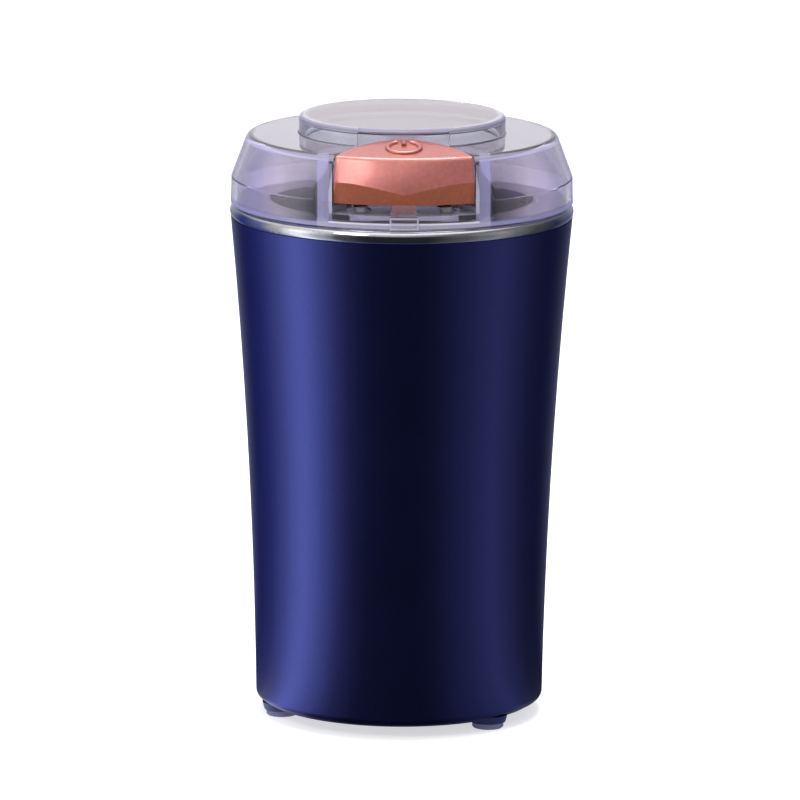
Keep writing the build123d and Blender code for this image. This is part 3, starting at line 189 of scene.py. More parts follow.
def blank(name):
    """A new material, its empty node tree and its Object coordinates."""
    made = bpy.data.materials.new(name)
    made.use_nodes = True
    made.node_tree.nodes.clear()
    return made, made.node_tree, add(made.node_tree, "ShaderNodeTexCoord").outputs["Object"]


def surface(tree, inputs):
    """Ends a material in a Principled shader."""
    shader = add(tree, "ShaderNodeBsdfPrincipled", inputs)
    add(tree, "ShaderNodeOutputMaterial", {"Surface": shader.outputs[0]})


def wear(material, *names):
    """Gives CAD nodes their finish."""
    for name in names:
        for holder in nodes[name].material_slots:
            holder.material = material


# Satin metallic lacquer: aluminium flake of about 0.3 mm clumps in blue resin, under a satin clear coat
# that spreads each highlight into a wide soft stripe. The slow clouds are the spray's passes.
lacquer, tree, place = blank("metallic blue lacquer")
flake = add(tree, "ShaderNodeTexNoise", {"Vector": place, "Scale": 1 / (0.35 * MM), "Detail": 3.0}).outputs["Fac"]
cloud = add(tree, "ShaderNodeTexNoise", {"Vector": place, "Scale": 1 / (20 * MM)}).outputs["Fac"]
surface(tree, {
    "Base Color": add(tree, "ShaderNodeValToRGB", {"Fac": flake},
                      [(0.30, "#333c8a"), (0.55, "#374090"), (0.75, "#414b9c")]).outputs["Color"],
    "Metallic": 1.0,
    "Roughness": add(tree, "ShaderNodeMapRange", {"Value": cloud, "From Min": 0.3, "From Max": 0.7,
                                                  "To Min": 0.33, "To Max": 0.36}).outputs[0],
    "Specular Tint": linear("#3a3f84"),
    "Coat Weight": 0.9,
    "Coat IOR": 1.45,
    "Coat Roughness": 0.28,
    "Normal": add(tree, "ShaderNodeBump", {"Height": flake, "Distance": 0.004 * MM}).outputs[0],
})
wear(lacquer, "body_sleeve")

# ---- Grinding bowl ----
# One pressing of polished stainless steel: its rolled bead covers the top edge of the sleeve. The
# bowl is spun on a former, which leaves fine rings on its inside.

# Polished stainless: a clear mirror on the bead, and rings about 0.5 mm apart below it that stretch
# each reflection into streaks.
steel, tree, place = blank("polished stainless steel")
grain = add(tree, "ShaderNodeTexNoise", {"Vector": place, "Scale": 1 / (0.6 * MM), "Detail": 4.0}).outputs["Fac"]
flat = add(tree, "ShaderNodeVectorMath", {0: place, 1: (1, 1, 0)}, operation="MULTIPLY").outputs[0]
reach = add(tree, "ShaderNodeVectorMath", {0: flat}, operation="LENGTH").outputs["Value"]
height = add(tree, "ShaderNodeSeparateXYZ", {0: place}).outputs["Z"]
turned = add(tree, "ShaderNodeCombineXYZ", {"X": reach, "Y": height}).outputs[0]
rings = add(tree, "ShaderNodeTexNoise", {"Vector": turned, "Scale": 1 / (0.5 * MM), "Detail": 2.0}).outputs["Fac"]
inside = add(tree, "ShaderNodeMapRange", {"Value": reach, "From Min": 46.5 * MM, "From Max": 46.0 * MM}).outputs[0]
surface(tree, {
    "Base Color": add(tree, "ShaderNodeValToRGB", {"Fac": grain},
                      [(0.3, "#c6c6c8"), (0.7, "#d2d2d3")]).outputs["Color"],
    "Metallic": 1.0,
    "Roughness": add(tree, "ShaderNodeMapRange", {"Value": grain, "From Min": 0.3, "From Max": 0.7,
                                                  "To Min": 0.05, "To Max": 0.10}).outputs[0],
    "Normal": add(tree, "ShaderNodeBump", {"Height": rings, "Distance": 0.01 * MM, "Strength": inside}).outputs[0],
})
wear(steel, "grinding_bowl")

# ---- Lid cover and insert ----
# The cover is clear moulded polycarbonate with a pocket for the button; the insert is a second clear
# shell welded in from below. Where walls meet edge on, the plastic is thicker, and there it is painted pale and
# milkier: painted light for what the thicker plastic carries and bends.


def within(tree, value, low, high, soft):
    """One where a value in millimetres lies between two others, with soft ends."""
    rise = add(tree, "ShaderNodeMapRange",
               {"Value": value, "From Min": (low - soft) * MM, "From Max": (low + soft) * MM},
               interpolation_type="SMOOTHSTEP").outputs[0]
    fall = add(tree, "ShaderNodeMapRange",
               {"Value": value, "From Min": (high + soft) * MM, "From Max": (high - soft) * MM},
               interpolation_type="SMOOTHSTEP").outputs[0]
    return add(tree, "ShaderNodeMath", {0: rise, 1: fall}, operation="MULTIPLY").outputs[0]


def combined(tree, operation, *factors):
    """Several factors multiplied, or the largest of them."""
    result = factors[0]
    for factor in factors[1:]:
        result = add(tree, "ShaderNodeMath", {0: result, 1: factor}, operation=operation).outputs[0]
    return result


# Clear polycarbonate whose tint changes with place, as painted light and shade in stand-in for what the thicker walls
# bend and hide:
# violet and pale out on the slopes and paler higher up, a painted shade of smoke grey beside the pocket, nearly
# colourless on top.
# Painted highlights run along the shoulder and the disc's edge, and painted light brightens the sill and the pocket
# floor under the button.
# The painted highlight of the pocket's lower lip is drawn here too, as a pale line below the edge of the moulded floor.
clear, tree, place = blank("clear polycarbonate")
split = add(tree, "ShaderNodeSeparateXYZ", {0: place}).outputs
aside = add(tree, "ShaderNodeMath", {0: split["X"]}, operation="ABSOLUTE").outputs[0]
flat = add(tree, "ShaderNodeVectorMath", {0: place, 1: (1, 1, 0)}, operation="MULTIPLY").outputs[0]
reach = add(tree, "ShaderNodeVectorMath", {0: flat}, operation="LENGTH").outputs["Value"]
front = within(tree, split["Y"], -60, -36, 0.5)
pocket = within(tree, aside, -1, 25.0, 0.2)
cheeks = combined(tree, "MULTIPLY", within(tree, aside, 21.6, 24.9, 0.2), front)
hem = within(tree, split["Z"], 150, 153.6, 0.5)
sill = combined(tree, "MULTIPLY", pocket, front, within(tree, reach, 43.4, 52, 0.3),
                within(tree, split["Z"], 150, 153.7, 0.2))
# Mask of the painted highlight line along the pocket's lower lip.
edges = combined(tree, "MULTIPLY", within(tree, aside, -1, 21.8, 0.1), front, within(tree, reach, 49.0, 52, 0.2),
                 within(tree, split["Z"], 153.5, 154.0, 0.1))
ridge = combined(tree, "MULTIPLY", within(tree, reach, 44.5, 46.2, 0.3), within(tree, split["Z"], 170.6, 171.9, 0.2))
brow = combined(tree, "MULTIPLY", within(tree, reach, 28.2, 31.0, 0.3), within(tree, split["Z"], 176.5, 178.2, 0.2))
pocket_floor_painted_light = combined(tree, "MULTIPLY", within(tree, aside, -1, 21.6, 0.1), front,
                       within(tree, split["Z"], 156.1, 157.4, 0.1))
painted_edge_highlights = combined(tree, "MAXIMUM", ridge, brow)
thick_edge_painted_light = combined(tree, "MAXIMUM", cheeks, hem, sill)
across = add(tree, "ShaderNodeMapRange", {"Value": split["X"], "From Min": -50 * MM, "From Max": 50 * MM}).outputs[0]
# Painted light and shade across the slopes: pale and violet out at the sides, a painted shade of smoke grey beside the
# pocket.
painted_slope_shading = add(tree, "ShaderNodeValToRGB", {"Fac": across},
            [(0.0, "#b4aff6"), (0.08, "#dcd4f2"), (0.14, "#f0e6ee"), (0.19, "#beb6c0"), (0.24, "#7a747e"),
             (0.76, "#78707c"), (0.81, "#b8b0c0"), (0.86, "#f0e6f2"), (0.92, "#ece4fb"),
             (1.0, "#ccc6ff")]).outputs["Color"]
# Painted light: the slopes turn paler towards the top.
painted_light_higher_up = add(tree, "ShaderNodeMapRange",
           {"Value": split["Z"], "From Min": 158 * MM, "From Max": 169 * MM, "To Max": 0.5}).outputs[0]
painted_slope_shading = add(tree, "ShaderNodeMix", {0: painted_light_higher_up, 6: painted_slope_shading, 7: linear("#ebe5f3")}, data_type="RGBA").outputs[2]
forward = within(tree, split["Y"], -60, -22, 6)
beside = add(tree, "ShaderNodeMath", {0: 1.0, 1: pocket}, operation="SUBTRACT").outputs[0]
outside = combined(tree, "MULTIPLY", forward, beside)
body = add(tree, "ShaderNodeMix", {0: outside, 6: linear("#cfcbdc"), 7: painted_slope_shading}, data_type="RGBA").outputs[2]
high = within(tree, split["Z"], 171.4, 190, 0.8)
disc = combined(tree, "MULTIPLY", high, within(tree, reach, -1, 27.5, 0.3))
body = add(tree, "ShaderNodeMix", {0: high, 6: body, 7: linear("#cfc4d0")}, data_type="RGBA").outputs[2]
body = add(tree, "ShaderNodeMix", {0: disc, 6: body, 7: linear("#b8a8b4")}, data_type="RGBA").outputs[2]
wall = combined(tree, "MULTIPLY", within(tree, reach, 28, 31, 0.2), within(tree, split["Z"], 171.6, 177.4, 0.2))
body = add(tree, "ShaderNodeMix", {0: wall, 6: body, 7: linear("#dfe2e2")}, data_type="RGBA").outputs[2]
# Painted light: the cheeks, the hem and the sill are paler, in stand-in for light carried through the thicker edges.
body = add(tree, "ShaderNodeMix", {0: thick_edge_painted_light, 6: body, 7: linear("#c0bde6")}, data_type="RGBA").outputs[2]
# Painted light: the sill is paler still.
body = add(tree, "ShaderNodeMix", {0: sill, 6: body, 7: linear("#dcd8ee")}, data_type="RGBA").outputs[2]
# Painted highlights: the shoulder's round and the disc's edge are a pale lavender white.
body = add(tree, "ShaderNodeMix", {0: painted_edge_highlights, 6: body, 7: linear("#dcd8f4")}, data_type="RGBA").outputs[2]
# Painted light on the pocket floor, where the button shades it; it is rougher and less clear there too.
body = add(tree, "ShaderNodeMix", {0: pocket_floor_painted_light, 6: body, 7: linear("#e2e0ea")}, data_type="RGBA").outputs[2]
# Painted highlight: a near-white line for the pocket's lower lip, below the edge of the moulded floor; it is less clear
# there too.
body = add(tree, "ShaderNodeMix", {0: edges, 6: body, 7: linear("#fbf9ff")}, data_type="RGBA").outputs[2]
# Painted light: the thicker edges and the rounded edges let less light through and look milkier.
milky_painted_light = add(tree, "ShaderNodeMapRange",
            {"Value": combined(tree, "MAXIMUM", thick_edge_painted_light, painted_edge_highlights), "To Min": 0.94, "To Max": 0.62})
milky_painted_light = add(tree, "ShaderNodeMapRange", {"Value": pocket_floor_painted_light, "To Min": milky_painted_light.outputs[0], "To Max": 0.3}).outputs[0]
surface(tree, {
    "Base Color": body,
    "Roughness": add(tree, "ShaderNodeMapRange", {"Value": pocket_floor_painted_light, "To Min": 0.02, "To Max": 0.45}).outputs[0],
    "IOR": 1.585,
    "Transmission Weight": add(tree, "ShaderNodeMapRange", {"Value": edges, "To Min": milky_painted_light, "To Max": 0.4}).outputs[0],
})
wear(clear, "lid_cover", "lid_insert")

# The latch window is frosted: on the skirt below the tab, a small frame of two posts and three bars. A pale frosted
# jamb down each side of the pocket, level with the lid's sloping face, is a painted highlight along the pocket's side
# edges.
lid_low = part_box("lid_cover")[0]
skirt_radius = -lid_low.y
window_half, bar_half, bar_heights = 3.9 * MM, 0.25 * MM, (152.4 * MM, 153.9 * MM, 155.4 * MM)
proud, sunk, bend_steps = 0.12 * MM, 0.3 * MM, 8
spans = [(-window_half, window_half, height - bar_half, height + bar_half) for height in bar_heights]
spans += [(side * window_half - bar_half, side * window_half + bar_half, bar_heights[0] - bar_half,
           bar_heights[-1] + bar_half) for side in (-1, 1)]
window = bmesh.new()
for left, right, low, high in spans:
    rows = []
    for i in range(bend_steps + 1):
        x = left + (right - left) * i / bend_steps
        outer = -math.sqrt((skirt_radius + proud) ** 2 - x ** 2)
        inner = -math.sqrt((skirt_radius - sunk) ** 2 - x ** 2)
        corners = ((x, outer, low), (x, outer, high), (x, inner, high), (x, inner, low))
        rows.append([window.verts.new(spot) for spot in corners])
    for one, two in zip(rows, rows[1:]):
        for k in range(4):
            window.faces.new((one[k], one[(k + 1) % 4], two[(k + 1) % 4], two[k]))
    window.faces.new(rows[0])
    window.faces.new(rows[-1])
skirt_top, shoulder_top, shoulder_inset = lid_low.z + 7.5 * MM, lid_low.z + 20.3 * MM, 4.85 * MM
# Painted highlight: each jamb is a pale strip down the inside of a cheek, where the edge catches the light.
jamb_inner, jamb_outer, jamb_depth, jamb_sunk = 20.7 * MM, 21.75 * MM, 2.0 * MM, 0.25 * MM
for side in (-1, 1):
    rows = []
    for height in (153.7 * MM, skirt_top, 162.0 * MM, 166.0 * MM, 169.6 * MM):
        lean = max(height - skirt_top, 0) / (shoulder_top - skirt_top) * shoulder_inset
        radius = skirt_radius - lean - jamb_sunk
        near, far = (-math.sqrt(radius ** 2 - x ** 2) for x in (jamb_inner, jamb_outer))
        corners = ((jamb_inner, near), (jamb_outer, far),
                   (jamb_outer, far + jamb_depth), (jamb_inner, near + jamb_depth))
        rows.append([window.verts.new((side * x, y, height)) for x, y in corners])
    for one, two in zip(rows, rows[1:]):
        for k in range(4):
            window.faces.new((one[k], one[(k + 1) % 4], two[(k + 1) % 4], two[k]))
    window.faces.new(rows[0])
    window.faces.new(rows[-1])
bmesh.ops.recalc_face_normals(window, faces=window.faces)
mesh = bpy.data.meshes.new("lid_frosting_and_highlights")
window.to_mesh(mesh)
window.free()
lid_frosting_and_highlights = bpy.data.objects.new("lid_frosting_and_highlights", mesh)
bpy.context.scene.collection.objects.link(lid_frosting_and_highlights)


def mottled(name, low, high, grain, rough, relief=0.0, more=None):
    """A material whose colour, gloss and relief all vary with lumps about one grain across."""
    made, tree, place = blank(name)
    lumps = add(tree, "ShaderNodeTexNoise", {"Vector": place, "Scale": 1 / (grain * MM), "Detail": 3.0}).outputs["Fac"]
    surface(tree, {
        "Base Color": add(tree, "ShaderNodeValToRGB", {"Fac": lumps}, [(0.3, low), (0.7, high)]).outputs["Color"],
        "Roughness": add(tree, "ShaderNodeMapRange", {"Value": lumps, "From Min": 0.3, "From Max": 0.7,
                                                      "To Min": 0.9 * rough, "To Max": 1.1 * rough}).outputs[0],
        "Normal": add(tree, "ShaderNodeBump", {"Height": lumps, "Distance": relief * MM}).outputs[0],
        **(more or {}),
    })
    return made


# Spark-etched polycarbonate: the mould's 0.1 mm texture scatters light, so it looks white; on the jambs this white is a
# painted highlight.
frosted = mottled("spark-etched polycarbonate", "#dad6ea", "#e8e4f4", 0.1, 0.3, 0.01,
                  {"Transmission Weight": 0.55, "IOR": 1.585})
mesh.materials.append(frosted)
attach(lid_frosting_and_highlights, "lid")

# ---- Lid seal ----
# A ring of clear silicone, moulded and stretched into a groove of the insert, that closes the bowl.

# Silicone: soft and translucent, with a faint bloom that dulls its gloss.
silicone = mottled("clear silicone", "#dcd9de", "#e6e3e8", 4, 0.35, 0.0, {"Transmission Weight": 0.8, "IOR": 1.41})
wear(silicone, "lid_seal")

# ---- Push button ----
# A thin moulded cap, metallised in satin rose gold. Its front folds along a crest that dips to the
# middle; the switch symbol stands proud on top and the tab below goes down to the push rod.
cap_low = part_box("button_cap")[0]
arc_centre, arc_radius, half_width = -53.0 * MM, 23.3 * MM, 20.4 * MM
foot_radius, top_radius = 48.4 * MM, 46.0 * MM
foot_height, brow_height = 159.0 * MM, 172.2 * MM
crest_end, crest_middle, crest_reach, crest_bow = 6.1 * MM, 3.1 * MM, 0.85, 1.4
front_slope, top_slope, cap_wall = 0.375, 0.19, 1.6 * MM
swell = 0.5 * MM
edge_round, ceiling, draft = 0.7 * MM, 168.5 * MM, 0.55 * MM
columns, lower_rows, upper_rows, top_rows, round_rows = 48, 3, 9, 6, 4
spread = [2 * i / columns - 1 for i in range(columns + 1)]
shares = [j / top_rows for j in range(top_rows + 1)]
quarter = [math.pi / 2 * k / round_rows for k in range(1, round_rows + 1)]


def top_height(x, y):
    """Height of the sloping top over a spot."""
    return brow_height + (top_radius - math.hypot(x, y)) * top_slope


def loop(front, inset, corner, height, level):
    """A closed line round the cap at a level from 0, its foot, to 1: the front arc, a corner, an end and the back."""
    wide = half_width - inset - draft * level
    flat = wide - corner
    line = []
    for u in spread:
        radius, z = front(u)
        line.append(Vector((u * flat, -math.sqrt((radius - inset) ** 2 - (u * flat) ** 2), z)))
    bend = line[-1].y + corner
    back = arc_centre + math.sqrt((arc_radius - inset) ** 2 - wide ** 2)
    turned = [(flat + corner * math.sin(a), bend - corner * math.cos(a)) for a in quarter]
    turned += [(wide, bend + (back - bend) * share) for share in shares[1:]]
    arc = [(u * wide, arc_centre + math.sqrt((arc_radius - inset) ** 2 - (u * wide) ** 2)) for u in spread[-2:0:-1]]
    for x, y in turned + arc + [(-x, y) for x, y in reversed(turned)] + [(line[0].x, line[0].y)]:
        line.append(Vector((x, y, height(x, y, line[columns].z))))
    line[-1] = line[0].copy()
    return line


def front_line(u, row):
    """Radius and height on the front: u runs from -1 to 1 across, row from the foot over the crest to the brow."""
    dip = 1 - (1 - min(abs(u) / crest_reach, 1.0)) ** crest_bow
    crest = foot_height + crest_middle + (crest_end - crest_middle) * dip
    crest_radius = top_radius + (brow_height - crest) * front_slope
    top = brow_height - edge_round
    if row <= lower_rows:
        share = row / lower_rows
        return foot_radius + (crest_radius - foot_radius) * share, foot_height + (crest - foot_height) * share
    share = (row - lower_rows) / upper_rows
    radius = crest_radius + (top_radius + edge_round * front_slope - crest_radius) * share
    return radius + swell * math.sin(math.pi * share) * (1 - abs(u)) ** 2, crest + (top - crest) * share


def wall_height(x, y, end):
    """Height on the cap's ends and back, level with a height at the end of the front."""
    share = (end - foot_height) / (brow_height - edge_round - foot_height)
    return foot_height + (top_height(x, y) - edge_round - foot_height) * share


def sheet(shell, grid):
    """Adds quads over a grid of points."""
    rows = [[shell.verts.new(point) for point in line] for line in grid]
    for one, two in zip(rows, rows[1:]):
        for i in range(len(one) - 1):
            shell.faces.new((one[i], one[i + 1], two[i + 1], two[i]))


def lid_of(line, height):
    """A grid that fills a closed line from its front to its back."""
    start = columns + round_rows + top_rows
    front, back = line[:columns + 1], line[start:start + columns + 1][::-1]
    grid = []
    for share in shares:
        across = [one.lerp(two, share) for one, two in zip(front, back)]
        grid.append([Vector((point.x, point.y, height(point.x, point.y, 0))) for point in across])
    return grid


rows = lower_rows + upper_rows
loops = [loop(lambda u: front_line(u, row), 0, edge_round, wall_height, row / rows) for row in range(rows + 1)]
for a in quarter:
    drop = edge_round * (1 - math.sin(a))
    inset = edge_round * (1 - math.cos(a))
    rise = edge_round * front_slope * (1 - math.sin(a))
    over = loop(lambda u: (top_radius + rise, 0), inset, edge_round - inset, lambda x, y, end: 0, 1)
    loops.append([Vector((point.x, point.y, top_height(point.x, point.y) - drop)) for point in over])
outside = lid_of(loops[-1], lambda x, y, end: top_height(x, y))
crest = {tuple(round(c, 6) for c in point) for point in loops[lower_rows][:columns + 1]}
low_inside = loop(lambda u: (foot_radius, foot_height), cap_wall, 0, lambda x, y, end: foot_height, 0)
high_inside = [Vector((point.x, point.y, ceiling)) for point in low_inside]
shell = bmesh.new()
sheet(shell, loops)
sheet(shell, outside)
sheet(shell, [loops[0], low_inside, high_inside])
sheet(shell, lid_of(high_inside, lambda x, y, end: ceiling))
bmesh.ops.remove_doubles(shell, verts=shell.verts, dist=1e-6)
bmesh.ops.dissolve_degenerate(shell, edges=shell.edges, dist=1e-6)
bmesh.ops.recalc_face_normals(shell, faces=shell.faces)

# The tab is one with the cap.
tab_low, tab_high = Vector((-3.6 * MM, -44.6 * MM, cap_low.z)), Vector((3.6 * MM, -42.4 * MM, 168.0 * MM))
block = bmesh.new()
bmesh.ops.create_cube(block, size=1.0)
for vert in block.verts:
    vert.co = Vector([low if c < 0 else high for c, low, high in zip(vert.co, tab_low, tab_high)])
bmesh.ops.bevel(block, geom=list(block.edges), offset=0.2 * MM, segments=2, affect="EDGES")


def grown(name, tree, values, source=None):
    """The plain mesh that a geometry tree gives for its named values."""
    holder = bpy.data.objects.new(name, source or bpy.data.meshes.new(name))
    bpy.context.scene.collection.objects.link(holder)
    modifier = holder.modifiers.new(name, "NODES")
    modifier.node_group = tree
    for socket in tree.interface.items_tree:
        if socket.in_out == "INPUT" and socket.name in values:
            modifier[socket.identifier] = values[socket.name]
    made = bpy.data.meshes.new_from_object(holder.evaluated_get(bpy.context.evaluated_depsgraph_get()))
    bpy.data.objects.remove(holder)
    return made


def sized(name, **kinds):
    """An empty geometry tree with a geometry input and output and one input for each size."""
    made = bpy.data.node_groups.new(name, "GeometryNodeTree")
    made.interface.new_socket(name="Geometry", in_out="INPUT", socket_type="NodeSocketGeometry")
    made.interface.new_socket(name="Geometry", in_out="OUTPUT", socket_type="NodeSocketGeometry")
    for label, kind in kinds.items():
        made.interface.new_socket(name=label, in_out="INPUT", socket_type=kind)
    return made, add(made, "NodeGroupInput").outputs


# Satin rose gold: a vacuum-metallised skin under a satin clear coat. Faces that lean up are painted a lit pink and
# upright ones a shaded copper brown, chosen by the way each face points: painted light and shade. The fine mottle is
# the moulding's own.
rose, tree, place = blank("satin rose gold plating")
drift = add(tree, "ShaderNodeTexNoise", {"Vector": place, "Scale": 1 / (1.2 * MM), "Detail": 3.0}).outputs["Fac"]
facing = add(tree, "ShaderNodeNewGeometry").outputs["Normal"]
lean = add(tree, "ShaderNodeSeparateXYZ", {0: facing}).outputs["Z"]
copper = add(tree, "ShaderNodeValToRGB", {"Fac": drift}, [(0.3, "#b06145"), (0.7, "#bb6a4e")]).outputs["Color"]
lit_pink = add(tree, "ShaderNodeValToRGB", {"Fac": drift}, [(0.3, "#c07068"), (0.7, "#ca7b73")]).outputs["Color"]
# Painted light: the colour turns from shaded copper to lit pink as a face turns upward.
upturned_painted_light = add(tree, "ShaderNodeMapRange", {"Value": lean, "From Min": 0.08, "From Max": 0.30},
              interpolation_type="SMOOTHSTEP").outputs[0]
surface(tree, {
    "Base Color": add(tree, "ShaderNodeMix", {0: upturned_painted_light, 6: copper, 7: lit_pink}, data_type="RGBA").outputs[2],
    "Metallic": 0.5,
    "Roughness": add(tree, "ShaderNodeMapRange", {"Value": drift, "From Min": 0.3, "From Max": 0.7,
                                                  "To Min": 0.32, "To Max": 0.36}).outputs[0],
    "Coat Weight": 0.5,
    "Coat Roughness": 0.12,
})

# The switch symbol is a bead that stands proud of the top: a ring broken at the back, and its bar.
symbol_centre, symbol_radius, bead_radius = -37.0 * MM, 4.7 * MM, 0.8 * MM
gap, bead_steps, bead_sides = math.radians(26), 64, 12
turns = [gap + (2 * math.pi - 2 * gap) * i / bead_steps for i in range(bead_steps + 1)]
spots = [(symbol_radius * math.sin(a), symbol_centre + symbol_radius * math.cos(a)) for a in turns]
bar = [(0, symbol_centre + symbol_radius * share) for share in (0.35, 0.6, 0.85, 1.1)]
path = bpy.data.meshes.new("symbol path")
links = [(i, i + 1) for i in range(bead_steps)] + [(bead_steps + i, bead_steps + i + 1) for i in range(1, len(bar))]
path.from_pydata([(x, y, top_height(x, y)) for x, y in spots + bar], links, [])
tree, size = sized("raised bead", Radius="NodeSocketFloat", Sides="NodeSocketInt")
line = add(tree, "GeometryNodeMeshToCurve", {"Mesh": size["Geometry"]}).outputs[0]
profile = add(tree, "GeometryNodeCurvePrimitiveCircle",
              {"Resolution": size["Sides"], "Radius": size["Radius"]}).outputs[0]
tube = add(tree, "GeometryNodeCurveToMesh", {"Curve": line, "Profile Curve": profile, "Fill Caps": True}).outputs[0]
real = add(tree, "GeometryNodeRealizeInstances", {0: tube}).outputs[0]
plated = add(tree, "GeometryNodeSetMaterial", {"Geometry": real, "Material": rose}).outputs[0]
add(tree, "NodeGroupOutput", {0: plated})
symbol = grown("symbol", tree, {"Radius": bead_radius, "Sides": bead_sides}, path)

# Unplated mauve ABS: the tab is masked when the cap is metallised, so it keeps the plastic's own colour.
mauve = mottled("unplated mauve ABS", "#dcb0b2", "#e6bcbe", 0.6, 0.4, 0.01)

# Fine upright ribs on the tab's front guide it in its slot.
rib_count, rib_radius = 11, 0.2 * MM
rib_pitch = (tab_high.x - tab_low.x) / (rib_count + 1)
rib_height = 5.0 * MM
tree, size = sized("upright ribs", Count="NodeSocketInt", Pitch="NodeSocketFloat", Radius="NodeSocketFloat",
                   Height="NodeSocketFloat", Start="NodeSocketVector")
step = add(tree, "ShaderNodeCombineXYZ", {"X": size["Pitch"]}).outputs[0]
row = add(tree, "GeometryNodeMeshLine",
          {"Count": size["Count"], "Start Location": size["Start"], "Offset": step}).outputs[0]
rib = add(tree, "GeometryNodeMeshCylinder",
          {"Vertices": 8, "Radius": size["Radius"], "Depth": size["Height"]}).outputs[0]
ribs = add(tree, "GeometryNodeInstanceOnPoints", {"Points": row, "Instance": rib}).outputs[0]
real = add(tree, "GeometryNodeRealizeInstances", {0: ribs}).outputs[0]
bare = add(tree, "GeometryNodeSetMaterial", {"Geometry": real, "Material": mauve}).outputs[0]
add(tree, "NodeGroupOutput", {0: bare})
start = Vector((tab_low.x + rib_pitch, tab_low.y, tab_high.z - 6.5 * MM - rib_height))
tab_ribs = grown("ribs", tree, {"Count": rib_count, "Pitch": rib_pitch, "Radius": rib_radius,
                                "Height": rib_height, "Start": start})

whole = bmesh.new()
for piece, finish in ((shell, 0), (symbol, 0), (block, 1), (tab_ribs, 1)):
    if isinstance(piece, bmesh.types.BMesh):
        part = bpy.data.meshes.new("part")
        piece.to_mesh(part)
        piece.free()
    else:
        part = piece
    first = len(whole.faces)
    whole.from_mesh(part)
    whole.faces.ensure_lookup_table()
    for face in whole.faces[first:]:
        face.material_index = finish
mesh = bpy.data.meshes.new("push_button")
whole.to_mesh(mesh)
whole.free()
for face in mesh.polygons:
    face.use_smooth = True
mesh.set_sharp_from_angle(angle=math.radians(32))
for edge in mesh.edges:
    folded = all(tuple(round(c, 6) for c in mesh.vertices[i].co) in crest for i in edge.vertices)
    edge.use_edge_sharp = edge.use_edge_sharp or folded
mesh.materials.append(rose)
mesh.materials.append(mauve)
button = bpy.data.objects.new("push_button", mesh)
bpy.context.scene.collection.objects.link(button)
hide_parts("button_cap")
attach(button, "button")

# ---- Base plate and feet ----
# The base plate is moulded in navy ABS with four tapered foot holders and closes the sleeve from
# below. Soft pads are pressed into the holders.

# Navy ABS from a spark-etched mould: satin, with a 0.5 mm mottle.
navy = mottled("moulded navy ABS", "#131a4c", "#1a2158", 0.5, 0.38, 0.02)
wear(navy, "base_plate")

# Thermoplastic rubber: matt and slightly dusty.
pad = mottled("slate thermoplastic rubber", "#62647f", "#74769a", 0.4, 0.62, 0.02)
wear(pad, "foot_pads")

# ---- Blade and its bearing in the bowl ----
# A twisted two-ended blade of stamped stainless steel, clamped by a nut on a moulded hub that turns
# with the motor's ground shaft in a brass bush with a lip seal.

# Stamped stainless with a ground edge: grinding marks about 0.3 mm apart run across the blade.
ground, tree, place = blank("ground stainless steel")
drawn = add(tree, "ShaderNodeVectorMath", {0: place, 1: (1, 0.06, 1)}, operation="MULTIPLY").outputs[0]
marks = add(tree, "ShaderNodeTexNoise", {"Vector": drawn, "Scale": 1 / (0.3 * MM), "Detail": 3.0}).outputs["Fac"]
surface(tree, {
    "Base Color": add(tree, "ShaderNodeValToRGB", {"Fac": marks},
                      [(0.3, "#b9babd"), (0.7, "#c7c8ca")]).outputs["Color"],
    "Metallic": 1.0,
    "Roughness": add(tree, "ShaderNodeMapRange", {"Value": marks, "From Min": 0.3, "From Max": 0.7,
                                                  "To Min": 0.16, "To Max": 0.28}).outputs[0],
    "Normal": add(tree, "ShaderNodeBump", {"Height": marks, "Distance": 0.008 * MM}).outputs[0],
})
wear(ground, "grinding_blade", "blade_nut", "rotor_shaft")

# Glass-filled nylon: black with a faint grey fibre mottle, dull where the fibres reach the skin.
nylon = mottled("black glass-filled nylon", "#17181c", "#222328", 0.7, 0.45, 0.02)
wear(nylon, "blade_hub", "bowl_collar", "motor_frame", "cord_gland", "cord_clamp", "microswitch", "push_rod")

# Turned brass: yellow, with fine marks from the tool.
brass = mottled("turned brass", "#b08d3c", "#c09c48", 0.3, 0.22, 0.004, {"Metallic": 1.0})
wear(brass, "shaft_bush", "bowl_nut", "brush_holders")

# Nitrile rubber: matt black.
nitrile = mottled("black nitrile rubber", "#141415", "#1d1d1e", 0.8, 0.7, 0.01)
wear(nitrile, "bowl_gasket", "shaft_seal", "motor_dampers")

# ---- Motor ----
# A universal motor: laminated field and rotor, enamelled windings, a copper commutator with two
# carbon brushes in brass holders, and a fan on the shaft below. Pressed brackets hold its bearings.

# Stacked laminations: 0.5 mm sheets of dark silicon steel, so the edges show as level lines.
sheets, tree, place = blank("stacked silicon steel")
layers = add(tree, "ShaderNodeTexWave", {"Vector": place, "Scale": math.pi / 10 / (0.5 * MM), "Distortion": 0.5},
             wave_type="BANDS", bands_direction="Z").outputs["Fac"]
surface(tree, {
    "Base Color": add(tree, "ShaderNodeValToRGB", {"Fac": layers},
                      [(0.2, "#393b3e"), (0.8, "#606266")]).outputs["Color"],
    "Metallic": 0.9,
    "Roughness": 0.48,
    "Normal": add(tree, "ShaderNodeBump", {"Height": layers, "Distance": 0.05 * MM}).outputs[0],
})
wear(sheets, "stator_core", "rotor_core")

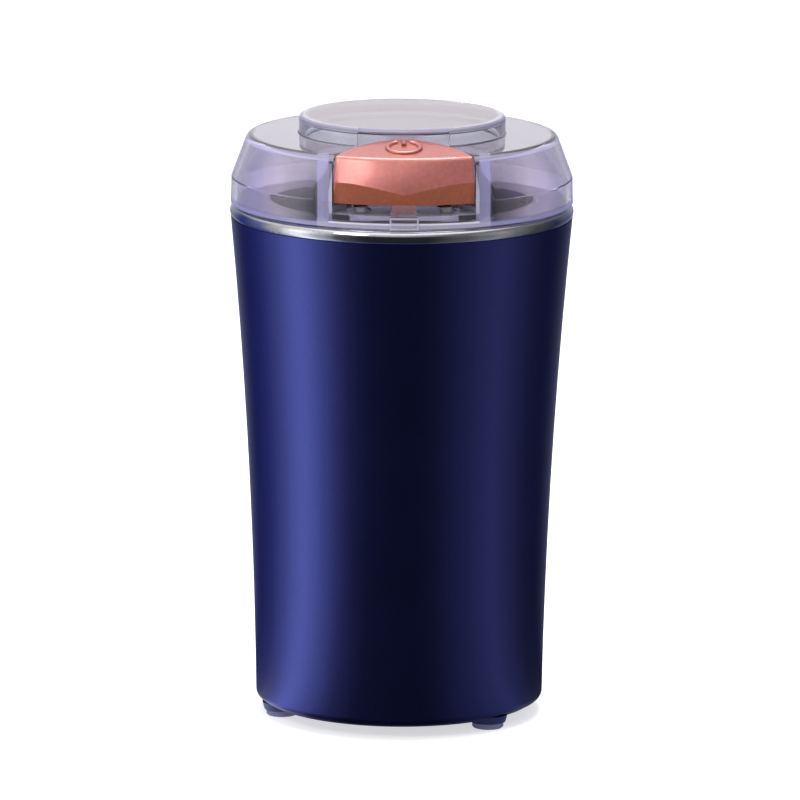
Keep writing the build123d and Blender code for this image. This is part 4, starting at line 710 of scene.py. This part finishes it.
# Enamelled copper wire, 0.45 mm thick and wound side by side: glossy copper-brown turns.
wire, tree, place = blank("enamelled copper wire")
strands = add(tree, "ShaderNodeTexWave", {"Vector": place, "Scale": math.pi / 10 / (0.45 * MM), "Distortion": 0.8},
              wave_type="BANDS", bands_direction="DIAGONAL").outputs["Fac"]
surface(tree, {
    "Base Color": add(tree, "ShaderNodeValToRGB", {"Fac": strands},
                      [(0.15, "#4a2011"), (0.6, "#a0552c")]).outputs["Color"],
    "Metallic": 0.8,
    "Roughness": 0.28,
    "Normal": add(tree, "ShaderNodeBump", {"Height": strands, "Distance": 0.15 * MM}).outputs[0],
})
wear(wire, "field_coils", "rotor_windings")

# Hard-drawn copper bars, turned smooth and browned a little by the brushes.
copper = mottled("turned copper", "#a2603a", "#b8714a", 1.2, 0.26, 0.004, {"Metallic": 1.0})
wear(copper, "commutator")

# Pressed carbon and graphite: grey-black and dull, with a sandy grain.
carbon = mottled("pressed carbon", "#1b1b1c", "#2b2b2c", 0.3, 0.6, 0.02)
wear(carbon, "carbon_brushes")

# White nylon: slightly translucent, so its thin fan blades look warm.
white = mottled("white nylon", "#dddcd6", "#e8e7e1", 2.5, 0.42, 0.01,
                {"Subsurface Weight": 0.1, "Subsurface Scale": 1 * MM})
wear(white, "cooling_fan")

# Pressed steel, zinc plated and passivated: pale blue-grey with a spangle of about 3 mm.
zinc = mottled("zinc plated steel", "#aeb2b9", "#c8cacc", 3, 0.3, 0.004, {"Metallic": 1.0})
wear(zinc, "upper_bracket", "lower_bracket", "base_screws", "clamp_screws", "switch_screws", "motor_bolts",
     "damper_screws")

# Through-hardened bearing steel, ground all over.
hard = mottled("ground bearing steel", "#b2b3b6", "#bebfc2", 0.3, 0.16, 0.002, {"Metallic": 1.0})
wear(hard, "upper_bearing", "lower_bearing")

# ---- Springs, switch and capacitor ----
# Springs are coiled from hard-drawn wire, the switch's lever is blanked from spring strip, and the
# film capacitor that quiets the motor is dipped in blue resin.

# Spring steel: bright, with drawing lines too fine to see and a faint straw tone.
spring = mottled("drawn spring steel", "#a8a8a9", "#bcbbb8", 0.6, 0.22, 0.002, {"Metallic": 1.0})
wear(spring, "push_rod_spring", "button_springs", "brush_springs", "switch_lever")

# Dipped epoxy: glossy blue with an uneven skin.
dipped = mottled("blue dipped epoxy", "#1d3f7d", "#254a8c", 3, 0.25, 0.05)
wear(dipped, "capacitor")
